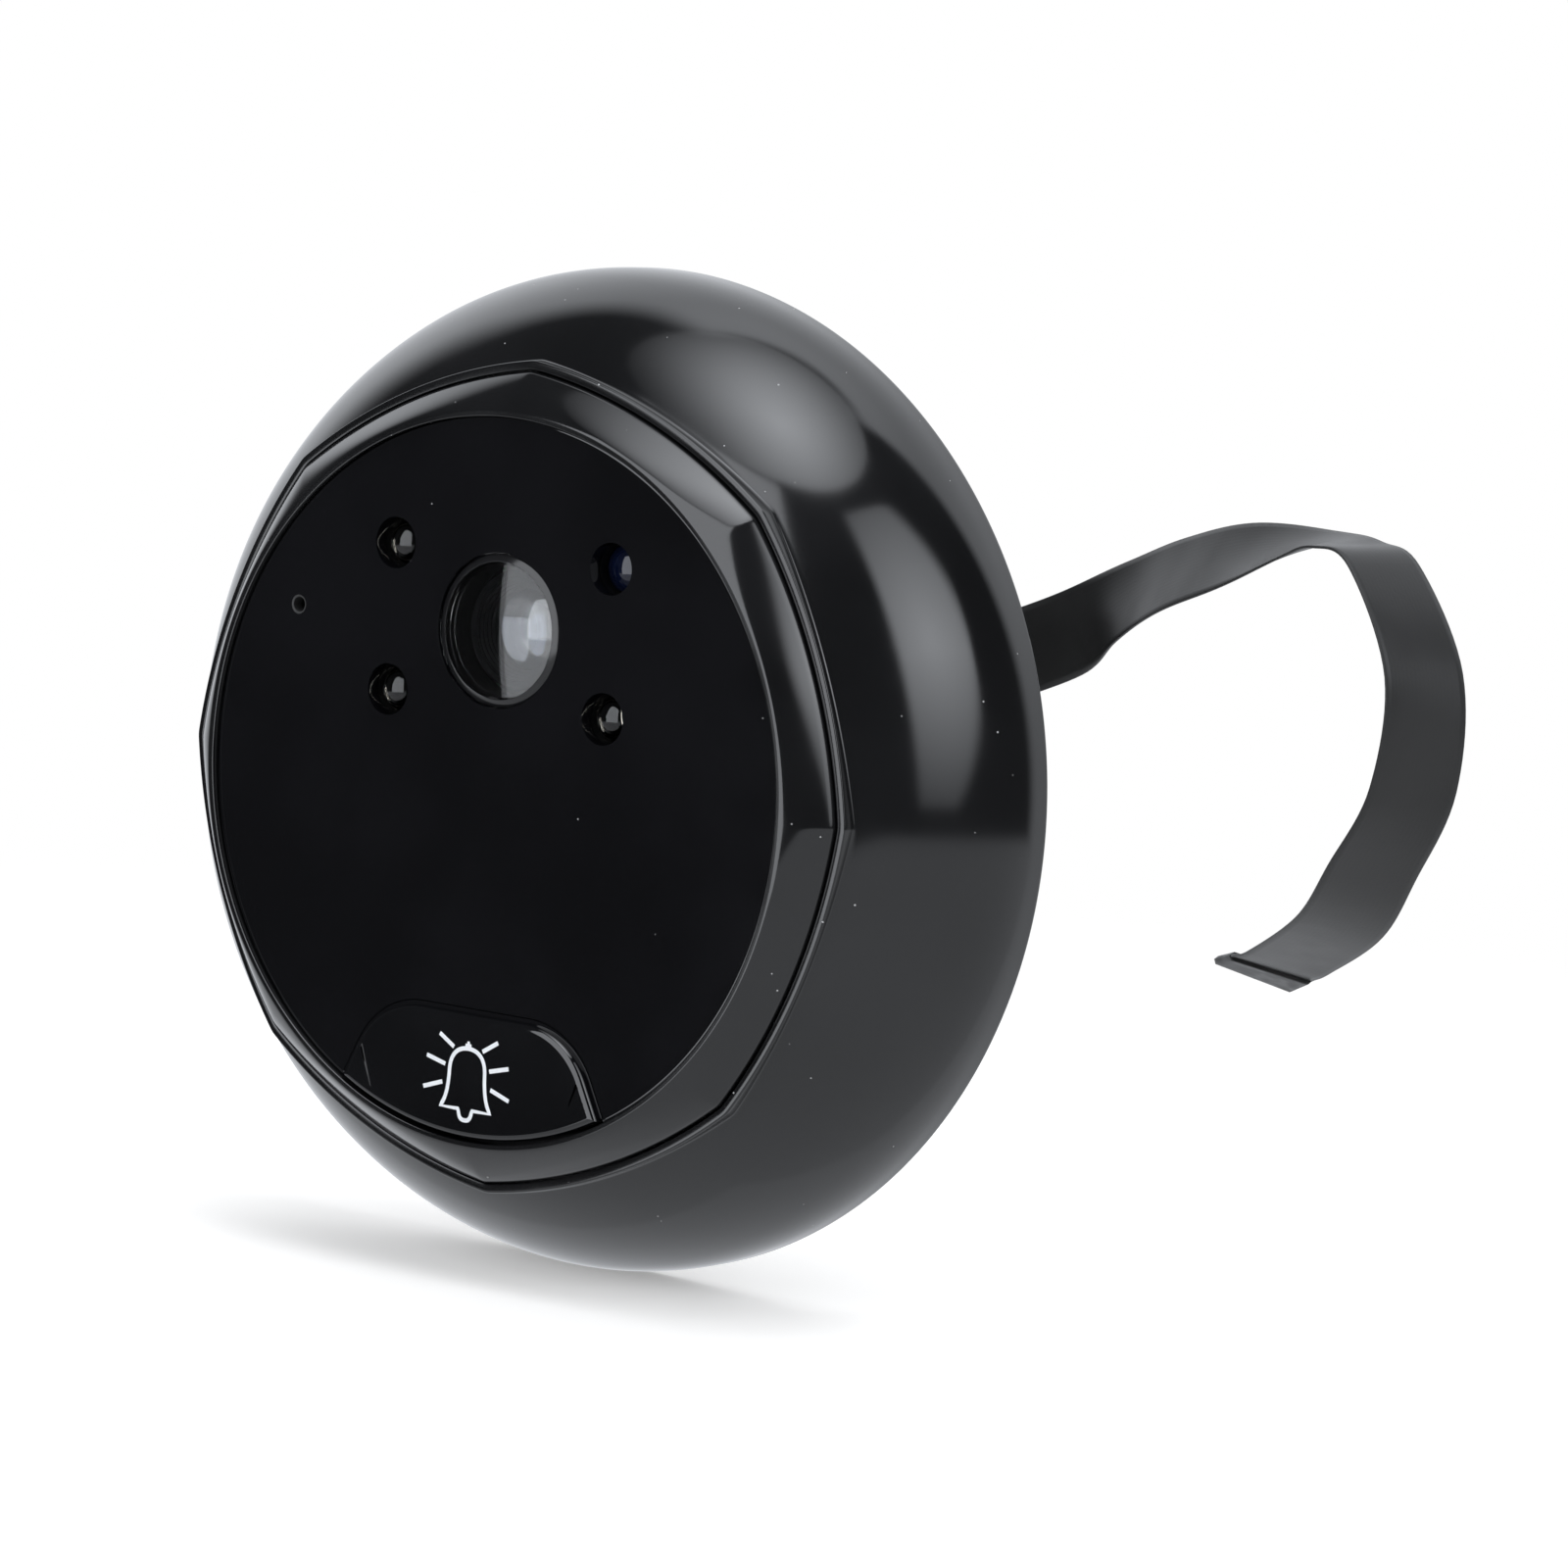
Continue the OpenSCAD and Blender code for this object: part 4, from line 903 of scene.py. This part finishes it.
def bezel_shell():
    """Closed bezel: skirt, facets, rim and pocket as rings, and a floor with its openings."""
    outside = octagon_r(0)
    rows = [(SKIRT_IN_R, FLOOR_LOW), (SKIRT_IN_R, SHELF_Z + 0.02), (outside, SHELF_Z + 0.02),
            (outside, EDGE_Z - 0.3), (outside, EDGE_Z - 0.15)]
    section = bezel_curve()
    start, stop = curve_point(section, EDGE_TO), curve_point(section, RIM_FROM)
    edge = rows[-1], (outside, EDGE_Z), start
    rows += [curve_point(edge, t) for t in np.linspace(0, 1, 6)[1:-1]]
    rows += [curve_point(section, t) for t in np.linspace(EDGE_TO, RIM_FROM, 40)]
    rows += [curve_point((stop, (RIM_R, RIM_Z), (RIM_R - 0.06, RIM_Z)), t) for t in np.linspace(0, 1, 6)[1:]]
    rows += [(RIM_R - 0.1, RIM_Z), (POCKET_R + 0.08, RIM_Z)]
    inner = (POCKET_R + 0.05, RIM_Z), (POCKET_R, RIM_Z), (POCKET_R, RIM_Z - 0.05)
    rows += [curve_point(inner, t) for t in np.linspace(0, 1, 4)]
    rows += [(POCKET_R, RIM_Z - 0.15), (POCKET_R, FLOOR_TOP)]
    points, faces = ring_grid(rows)
    cols = len(TURNS)
    faces = [f for f in faces.tolist() if not (max(f) >= (len(rows) - 1) * cols and min(f) < cols)]
    openings = [circle(CLEAR_R, (0, LENS_Y), 64), circle(MIC_OPENING_R, MIC_AT, 32), button_loop(-BUTTON_PLAY)]
    openings += [circle(LED_HOLE_R, at, 48) for at in [*LAMPS, SENSOR_AT]]
    loop_ids, start = np.arange(cols), len(points)
    rings, extra = [], []
    for loop in openings:
        n = len(loop)
        for height in (FLOOR_LOW, FLOOR_TOP):
            extra.append(np.concatenate([loop, np.full((n, 1), height)], 1))
        faces += (ring_faces(2, n, False) + start).tolist()
        rings.append((np.arange(start, start + n), np.arange(start + n, start + 2 * n)))
        start += 2 * n
    points = np.concatenate([points, *extra])
    flat = []
    for edge, level in ((loop_ids, 0), ((len(rows) - 1) * cols + loop_ids, 1)):
        ids = np.concatenate([edge] + [pair[level] for pair in rings])
        flat += [[ids[i] for i in face] for face in cap([points[edge][:, :2], *openings])]
    return points, faces, flat


points, faces, flat = bezel_shell()
solid("bezel", points, faces, "bezel_gloss", flat, stands_for=["octagon_bezel"], sharp=40)

# %% [markdown]
# ## Face plate
# The dark face is a round sheet with a shallow bevel at its edge, holes for the lens and the lamps, and
# a cut-out for the button that runs out through its lower edge. It is a slab with one outline for the
# edge and one for each hole. In the microphone's hole the mouth of its rubber tube shows as a thin ring.

# %% Face plate
PLATE_LOW = 15.25
PLATE_BEVEL = [(0, 0.2, 0.1), (0.02, 0.2, 0.07), (0.07, 0.22, 0.03), (0.14, 0.25, 0.005),
               (0.18, 0.28, 0), (0.24, 0.34, 0)]
LENS_HOLE_R, MIC_R, MIC_RING_R = 4.95, 0.48, 0.62


def hole_steps(radius, at, count):
    """Plain drilled hole from the back to the front."""
    return [(circle(radius, at, count), PLATE_LOW), (circle(radius, at, count), PLATE_TOP)]


edge_steps = [(plate_loop(0, 0.2), PLATE_LOW)]
edge_steps += [(plate_loop(inset, cut), PLATE_TOP - drop) for inset, cut, drop in PLATE_BEVEL]
hole_list = [hole_steps(LENS_HOLE_R, (0, LENS_Y), 128)]
hole_list += [hole_steps(LED_HOLE_R, at, 64) for at in [*LAMPS, SENSOR_AT]]
hole_list.append(hole_steps(MIC_RING_R, MIC_AT, 40))
points, sides, flat = slab([edge_steps, *hole_list])
solid("face", points, sides, "face_smoked", flat, stands_for=["face_plate"], sharp=60)
mouth = [(MIC_R, PLATE_LOW), (MIC_RING_R, PLATE_LOW), (MIC_RING_R, PLATE_TOP - 0.02),
         (MIC_R + 0.05, PLATE_TOP - 0.02), (MIC_R, PLATE_TOP - 0.06)]
solid("mic_mouth", *turned(mouth, 40, MIC_AT), "rubber_black", slot="rubber_black", sharp=40)

# %% [markdown]
# ## Doorbell button
# The button fills the cut-out and stands a hair proud of the face, with a wide soft bevel that catches
# the light along its right shoulder. Its flange and the post that reaches the switch are behind the
# face. It rides on its own body, because it travels half a millimetre.

# %% Doorbell button
BUTTON_Z, BEVEL = 16.65, 0.4
FLANGE_TOP, FLANGE_LOW, FLANGE_OUT = 13.0, 12.5, 0.6
SWITCH_AT, POST_R, POST_LOW = (0.0, -17.2), 1.5, 9.95
cap_steps = [(button_loop(0), FLANGE_TOP - 0.05), (button_loop(0), BUTTON_Z - BEVEL - 0.1)]
for a in quarter(9):
    cap_steps.append((button_loop(BEVEL * (1 - math.cos(a))), BUTTON_Z - BEVEL * (1 - math.sin(a))))
cap_steps.append((button_loop(BEVEL + 0.06), BUTTON_Z))
points, sides, flat = slab([cap_steps])
flange_loop = button_loop(-FLANGE_OUT)
flange, flange_sides, flange_flat = slab([[(flange_loop, FLANGE_LOW), (flange_loop, FLANGE_TOP)]])
post = turned(rounded([(0, POST_LOW), (POST_R, POST_LOW, 0.2), (POST_R, FLANGE_LOW + 0.1), (0, FLANGE_LOW + 0.1)]),
              32, SWITCH_AT)
flat += [[i + len(points) for i in f] for f in flange_flat]
solid("button", *joined((points, sides), (flange, flange_sides), post), "button_gloss", flat, body="button",
      stands_for=["doorbell_button"], sharp=60)

# %% [markdown]
# ## Bell sign
# A plain bell with rays, printed in white. Each stroke follows a line, so the lines go into one curve
# object and a Geometry Nodes tree sweeps a flattened round section along them and rounds their ends.


# %% Bell sign
def stroke_tree():
    """Flattened round strokes with rounded ends along every line of a curve."""
    tree, start, end = node_tree("printed_strokes", {
        "Radius": ("NodeSocketFloat", 0.15), "Flatness": ("NodeSocketFloat", 0.1),
        "Finish": ("NodeSocketMaterial", None)})
    section = add(tree, "GeometryNodeCurvePrimitiveCircle", {"Resolution": 12, "Radius": start.outputs["Radius"]})
    swept = add(tree, "GeometryNodeCurveToMesh", {"Curve": start.outputs["Geometry"],
                                                  "Profile Curve": section.outputs[0], "Fill Caps": True})
    tips = add(tree, "GeometryNodeCurveEndpointSelection", {"Start Size": 1, "End Size": 1})
    ball = add(tree, "GeometryNodeMeshUVSphere", {"Segments": 16, "Rings": 10, "Radius": start.outputs["Radius"]})
    dots = add(tree, "GeometryNodeCurveToPoints", {"Curve": start.outputs["Geometry"]}, mode="EVALUATED")
    at_tips = add(tree, "GeometryNodeInstanceOnPoints", {"Points": dots.outputs[0], "Selection": tips.outputs[0],
                                                         "Instance": ball.outputs[0]})
    both = add(tree, "GeometryNodeJoinGeometry")
    tree.links.new(swept.outputs[0], both.inputs[0])
    tree.links.new(at_tips.outputs[0], both.inputs[0])
    flat_way = add(tree, "ShaderNodeCombineXYZ", {0: 1.0, 1: 1.0, 2: start.outputs["Flatness"]})
    real = add(tree, "GeometryNodeRealizeInstances", {0: both.outputs[0]})
    low = add(tree, "GeometryNodeTransform", {"Geometry": real.outputs[0], "Scale": flat_way.outputs[0]})
    close_tree(tree, end, low.outputs[0], start.outputs["Finish"])
    return tree


def bezier(points, count=12):
    """Points of one smooth curve with two handles."""
    a, b, c, d = (np.array(p, float) for p in points)
    t = np.linspace(0, 1, count)[:, None]
    return a * (1 - t) ** 3 + 3 * b * t * (1 - t) ** 2 + 3 * c * t ** 2 * (1 - t) + d * t ** 3


right_side = np.concatenate([
    bezier([(0, -17.06), (0.95, -17.06), (1.42, -17.65), (1.45, -18.5)]),
    bezier([(1.45, -18.5), (1.47, -19.7), (1.62, -20.4), (2.05, -20.98)])[1:],
    [(0.6, -20.98)],
    bezier([(0.55, -20.98), (0.5, -21.68), (0.18, -21.66), (0, -21.66)])[1:]])
bell_lines = [np.concatenate([right_side, right_side[::-1] * [-1, 1]])]
bell_lines += [[(s * a, b), (s * c, d)] for s in (-1, 1) for a, b, c, d in [
    (1.18, -17.1, 2.4, -16.37), (1.82, -18.28, 3.37, -17.9), (1.99, -19.44, 3.53, -19.95)]]
bell_lines += [[(-0.24, -16.9), (0.24, -16.9)], [(-0.1, -16.74), (0.1, -16.74)]]
curve = bpy.data.curves.new("bell_lines", "CURVE")
curve.dimensions = "3D"
for line in bell_lines:
    spline = curve.splines.new("POLY")
    spline.points.add(len(line) - 1)
    for dot, (x, y) in zip(spline.points, line):
        dot.co = (float(x), float(y), 0, 1)
STROKE_R, STROKE_FLAT, SIGN_SINK = 0.15, 0.1, 0.004
bell_mesh = grown("bell_sign", stroke_tree(), curve, {"Radius": STROKE_R, "Flatness": STROKE_FLAT,
                                                      "Finish": FINISH["bell_white"]})
raised = [door((v.co.x, v.co.y, v.co.z + BUTTON_Z - SIGN_SINK)) for v in bell_mesh.vertices]
bell_mesh.vertices.foreach_set("co", np.array(raised, np.float32).ravel())
bell_mesh.polygons.foreach_set("use_smooth", [True] * len(bell_mesh.polygons))
piece("bell_sign", bell_mesh, None, body="button", slot="button_gloss")

# %% [markdown]
# ## Camera lens
# Behind the hole in the face sits a clear window with a slight crown. Its front and back bow alike, so
# both mirror the same panel, and a satin black ring covers its bevelled edge. Through it the barrel
# shows: a black cone in fine steps, which stop stray light, round the front lens. The steps follow a
# rule, so a loop writes the section and one turn makes the barrel.

# %% Camera lens
LENS_AT = (0, LENS_Y)
WINDOW_RIM_Z, WINDOW_CROWN, GLASS_R = 16.03, 0.2, 4.36
WINDOW_EDGE_Z, WINDOW_T, WINDOW_LEAN = 15.84, 0.75, 0.022
crown = crowned(GLASS_R, WINDOW_CROWN, WINDOW_RIM_Z + WINDOW_CROWN, 25)
hollow = [(r * 0.98, h - WINDOW_T) for r, h in crown[::-1]]
window_profile = hollow + [(hollow[-1][0] + 0.02, FLOOR_TOP + 0.01), (WINDOW_R - 0.1, FLOOR_TOP + 0.01),
                           (WINDOW_R, FLOOR_TOP + 0.1), (WINDOW_R, WINDOW_EDGE_Z - 0.05),
                           (WINDOW_R - 0.03, WINDOW_EDGE_Z), (GLASS_R + 0.03, WINDOW_RIM_Z - 0.01)]
points, faces = turned(window_profile + crown, 144, LENS_AT, closed=False)
pane = np.hypot(points[:, 0], points[:, 1] - LENS_Y) < GLASS_R + 0.001
points[:, 2] -= WINDOW_LEAN * points[:, 0] * pane * (points[:, 2] > FLOOR_TOP + 0.02)
solid("window", points, faces, "window_clear", stands_for=["lens_window"], sharp=25)
ring = [(WINDOW_R, WINDOW_EDGE_Z - 0.03), (WINDOW_R, WINDOW_EDGE_Z + 0.01), (WINDOW_R - 0.04, WINDOW_EDGE_Z + 0.05),
        (GLASS_R + 0.03, WINDOW_RIM_Z + 0.03), (GLASS_R, WINDOW_RIM_Z + 0.02), (GLASS_R, WINDOW_RIM_Z - 0.03)]
solid("window_ring", *turned(ring, 144, LENS_AT), "ring_satin", slot="barrel_black", sharp=40)

BARREL_TOP, BARREL_LOW, BARREL_R, HEAD_R = 14.0, 9.1, 3.4, 3.8
LENS_R, LENS_EDGE, LENS_BULGE, HOLDER_TOP = 2.58, 0.4, 0.7, 12.0
STEPS, STEP_H, STEP_FIRST_R, STEP_LAST_R = 5, 0.2, 3.22, LENS_R + 0.02
THROAT_R, THROAT_LOW, REAR_R = 1.6, 10.8, 2.2
steps = [(HEAD_R, HOLDER_TOP + 0.3), (HEAD_R, BARREL_TOP - 0.12), (HEAD_R - 0.12, BARREL_TOP), (3.3, BARREL_TOP)]
for k, r in enumerate(np.linspace(STEP_FIRST_R, STEP_LAST_R, STEPS)):
    h = BARREL_TOP - 0.1 - STEP_H * k
    steps += [(r + 0.06, h), (r, h - 0.03), (r, h - 0.17)]
steps += [(STEP_LAST_R, HOLDER_TOP), (THROAT_R, HOLDER_TOP), (THROAT_R, THROAT_LOW), (REAR_R, THROAT_LOW),
          (REAR_R, BARREL_LOW), (BARREL_R, BARREL_LOW), (BARREL_R, HOLDER_TOP + 0.3)]
solid("barrel", *turned(steps, 112, LENS_AT), "barrel_black", stands_for=["lens_barrel"], sharp=30)
lens_low = HOLDER_TOP + 0.005
lens = [(0, lens_low), (LENS_R, lens_low)] + crowned(LENS_R, LENS_BULGE, lens_low + LENS_EDGE + LENS_BULGE, 20)
solid("lens", *turned(lens, 96, LENS_AT, closed=False), "lens_glass", stands_for=["front_lens"], sharp=30)

# %% [markdown]
# ## Lamps and light sensor
# Three clear 3 mm lamps and a dark blue sensor look out of their holes. A lamp is a round-nosed clear
# body over a small silvery cup with a chip in it, and two leads go down to the board. The three lamps
# are alike, so one of each shape is drawn at the origin and a Geometry Nodes tree sets it on the three
# places.


# %% Lamps
def copies_tree():
    """Copies of one object's mesh on every point."""
    tree, start, end = node_tree("copies_on_points", {
        "Pattern": ("NodeSocketObject", None), "Finish": ("NodeSocketMaterial", None)})
    pattern = add(tree, "GeometryNodeObjectInfo", {"Object": start.outputs["Pattern"]})
    laid = add(tree, "GeometryNodeInstanceOnPoints", {"Points": start.outputs["Geometry"],
                                                      "Instance": pattern.outputs["Geometry"]})
    close_tree(tree, end, laid.outputs[0], start.outputs["Finish"])
    return tree


LED_R, LED_H, LED_FLANGE_R, LED_FLANGE_H = 1.5, 5.25, 1.85, 1.0
LED_BASE = RIM_Z - 0.75 - LED_H
LEAD_W, LEAD_PITCH, LEAD_LOW, LEAD_TOP = 0.5, 1.27, 5.6, 0.3
CHIP_HALF, CHIP_LOW, CHIP_TOP = 0.17, 2.29, 2.45
SQUARE = np.array([[-1, -1], [1, -1], [1, 1], [-1, 1]])
nose = [(LED_R * math.cos(a), LED_H - LED_R + LED_R * math.sin(a)) for a in np.linspace(0, math.pi / 2, 24)]
lamp_profile = [(0, 0), (LED_FLANGE_R - 0.1, 0), (LED_FLANGE_R, 0.1), (LED_FLANGE_R, LED_FLANGE_H - 0.08),
                (LED_FLANGE_R - 0.08, LED_FLANGE_H), (LED_R, LED_FLANGE_H)] + nose
cup_profile = rounded([(0, 2.3), (0.4, 2.3, 0.05), (0.68, 2.85, 0.04), (0.76, 2.85, 0.04), (0.76, 1.5, 0.05),
                       (0, 1.5)], 3)


def lead_pair():
    """Two square leads of a lamp, from its base down through the board."""
    shells = []
    for side in (-1, 1):
        loop = SQUARE * LEAD_W / 2 + [side * LEAD_PITCH, 0]
        points, sides, flat = slab([[(loop, LEAD_LOW - LED_BASE), (loop, LEAD_TOP)]])
        shells.append((points, sides + flat))
    return joined(*shells)


def chip():
    """The small lit chip at the bottom of the cup."""
    loop = CHIP_HALF * SQUARE
    points, sides, flat = slab([[(loop, CHIP_LOW), (loop * 0.9, CHIP_TOP)]])
    return points, sides + flat


lamp_points = bpy.data.meshes.new("lamp_places")
lamp_points.from_pydata([tuple(door((x, y, LED_BASE))) for x, y in LAMPS], [], [])
lamp_tree = copies_tree()


def lamp_set(name, shell, finish_name, slot, stands_for=()):
    """One shape of the lamp, copied to the three places and made a piece."""
    points, faces = shell
    pattern = bpy.data.objects.new(name + "_pattern", mesh_of(name + "_pattern", door(points), faces))
    pattern.data.polygons.foreach_set("use_smooth", [True] * len(pattern.data.polygons))
    pattern.data.set_sharp_from_angle(angle=math.radians(35))
    scene.collection.objects.link(pattern)
    mesh = grown(name, lamp_tree, lamp_points, {"Pattern": pattern, "Finish": FINISH[finish_name]})
    bpy.data.objects.remove(pattern)
    return piece(name, mesh, None, slot=slot, stands_for=stands_for)


lamp_nodes = ["ir_led_upper_left", "ir_led_lower_left", "ir_led_lower_right"]
lamp_set("lamp_bodies", turned(lamp_profile, 64, closed=False), "led_clear", "led_clear", lamp_nodes)
lamp_set("lamp_cups", turned(cup_profile, 48, closed=False), "cup_silver", "can_steel")
lamp_set("lamp_leads", lead_pair(), "cup_silver", "can_steel")
lamp_set("lamp_chips", chip(), "contact_gold", "insert_brass")

# %% Light sensor
SENSOR_TOP, SENSOR_BULGE = LED_H - 0.7, 0.55
sensor_profile = lamp_profile[:6] + [(LED_R, SENSOR_TOP - SENSOR_BULGE - 0.05)]
sensor_profile += crowned(LED_R, SENSOR_BULGE, SENSOR_TOP, 20)
points, faces = joined(turned(sensor_profile, 64, closed=False), lead_pair())
solid("sensor", points + [*SENSOR_AT, LED_BASE], faces, "sensor_blue", stands_for=["light_sensor"], sharp=35)

# %% [markdown]
# ## Back cover, inserts and pad
# From behind the unit shows a foam ring that seals against the door, a textured cover with a stub that
# goes into the door hole, and in the stub two brass inserts and the rubber bush of the cable.

# %% Back cover
COVER_R, COVER_LOW, DISC_IN_R, SPIGOT_R, SPIGOT_END = 30.2, 1.6, 2.0, 7.0, -3.0
INSERT_X, INSERT_R, INSERT_BORE_R, INSERT_LEN = 4.2, 2.0, 1.25, 4.5
SLOT_HALF = (1.15, 4.0)


def box_loop(half, ease=0.25, count=4):
    """Rectangle with eased corners, anticlockwise."""
    x, y = half
    return rounded([(-x, -y, ease), (x, -y, ease), (x, y, ease), (-x, y, ease)], count)


spigot_top = COVER_LOW + 0.2
spigot_steps = [(circle(SPIGOT_R - inset, count=128), height) for inset, height in [
    (0, spigot_top), (0, SPIGOT_END + 0.5), (0.1, SPIGOT_END + 0.15), (0.5, SPIGOT_END)]]
bores = [circle(INSERT_R + 0.02, (side * INSERT_X, 0), 48) for side in (-1, 1)]
openings = [[(loop, spigot_top), (loop, SPIGOT_END)] for loop in [*bores, box_loop(SLOT_HALF)]]
spigot, spigot_sides, spigot_flat = slab([spigot_steps, *openings])
disc = rounded([(DISC_IN_R, COVER_LOW + 0.1), (SPIGOT_R + 0.3, COVER_LOW + 0.1), (SPIGOT_R + 0.6, COVER_LOW, 0.05),
                (COVER_R, COVER_LOW, 0.25), (COVER_R, COVER_FRONT, 0.2), (DISC_IN_R, COVER_FRONT)])
points, faces = joined((spigot, spigot_sides), turned(disc, 192))
solid("cover", points, faces, "cover_black", spigot_flat, stands_for=["back_cover"], sharp=35)

# %% Brass inserts
THREAD_PITCH, THREAD_DEPTH, THREAD_TURNS = 0.5, 0.12, 8
insert_profile = [(INSERT_R, SPIGOT_END + INSERT_LEN), (INSERT_R, SPIGOT_END + 0.1), (INSERT_R - 0.1, SPIGOT_END),
                  (INSERT_BORE_R + 0.35, SPIGOT_END), (INSERT_BORE_R, SPIGOT_END + 0.3)]
for k in range(THREAD_TURNS):
    h = SPIGOT_END + 0.35 + THREAD_PITCH * k
    insert_profile += [(INSERT_BORE_R, h), (INSERT_BORE_R + THREAD_DEPTH, h + THREAD_PITCH * 0.45)]
insert_profile.append((INSERT_BORE_R, SPIGOT_END + INSERT_LEN))
points, faces = joined(*(turned(insert_profile, 56, (side * INSERT_X, 0)) for side in (-1, 1)))
solid("inserts", points, faces, "insert_brass", stands_for=["mounting_inserts"], sharp=25)

# %% Cable bush
BUSH_HALF, BUSH_LEN, SLIT_HALF = (1.13, 3.98), 2.5, (0.215, 3.04)
bush_steps = [(box_loop(BUSH_HALF), SPIGOT_END + BUSH_LEN), (box_loop(BUSH_HALF), SPIGOT_END + 0.12),
              (box_loop((BUSH_HALF[0] - 0.12, BUSH_HALF[1] - 0.12), 0.2), SPIGOT_END)]
slit_steps = [(box_loop(SLIT_HALF, 0.1), SPIGOT_END + BUSH_LEN), (box_loop(SLIT_HALF, 0.1), SPIGOT_END + 0.2),
              (box_loop((SLIT_HALF[0] + 0.15, SLIT_HALF[1] + 0.15), 0.15), SPIGOT_END)]
points, sides, flat = slab([bush_steps, slit_steps])
solid("bush", points, sides, "rubber_black", flat, stands_for=["ribbon_grommet"], sharp=35)

# %% [markdown]
# ## Foam pad
# A thin ring of closed-cell foam. Its faces are not dead flat: the skin dimples a little and the cut
# edges bulge, so the section is rounded and a seeded set of waves moves the rings by a few hundredths.

# %% Foam pad
PAD_R, PAD_IN_R, PAD_T = 29.5, 9.5, 1.6
pad_section = rounded([(PAD_IN_R, 0.0, 0.35), (PAD_R, 0.0, 0.45), (PAD_R, PAD_T, 0.3), (PAD_IN_R, PAD_T, 0.3)], 5)
dense = []
for i, p in enumerate(pad_section):
    q = pad_section[(i + 1) % len(pad_section)]
    n = max(1, int(np.linalg.norm(q - p) / 0.8))
    dense += [p + (q - p) * k / n for k in range(n)]
points, faces = turned(dense, 240)
rng = np.random.default_rng(7)
turns, radius = np.arctan2(points[:, 1], points[:, 0]), np.hypot(points[:, 0], points[:, 1])
wave = sum(rng.uniform(0.2, 1) * np.sin(n * turns + rng.uniform(0, 6) + radius * rng.uniform(-0.6, 0.6))
           for n in (3, 5, 8, 13, 21))
low_side = points[:, 2] < PAD_T / 2
points[:, 2] += np.where(low_side, 0.012 * (wave + 3), 0)


def foam_finish():
    """Black closed-cell foam: open cells on the cut faces, soft and dull."""
    material = finish("pad_foam", (0.012, 0.012, 0.0125), 0.85, patch=0.1, scale=1200.0, bump=0.0)
    tree = material.node_tree
    cells = add(tree, "ShaderNodeTexVoronoi", {"Vector": place_of(tree), "Scale": 2600.0})
    ridge = add(tree, "ShaderNodeBump", {"Height": cells.outputs["Distance"], "Strength": 0.8, "Distance": 0.00012})
    feed(tree, tree.nodes["Principled BSDF"].inputs["Normal"], ridge.outputs[0])
    return material


FINISH["pad_foam"] = foam_finish()
pad = solid("pad", points, faces, "pad_foam", stands_for=["door_pad"])

# %% [markdown]
# ## Pieces kept from the frame
# The inner pieces are seen only when the unit is opened. Their CAD shape is right, so they keep it and
# take the finishes above by the slot that the record names.

# %% Kept pieces
kept = {n["node"]: n["material_slot"] for n in frame["record"]["subparts"]}
count = 0
for name, obj in frame["nodes"].items():
    if obj.hide_render:
        continue
    obj.data.materials.clear()
    obj.data.materials.append(FINISH[kept[name]])
    count += 1
print("CAD pieces kept:", count)

# %% End
print("scene built")
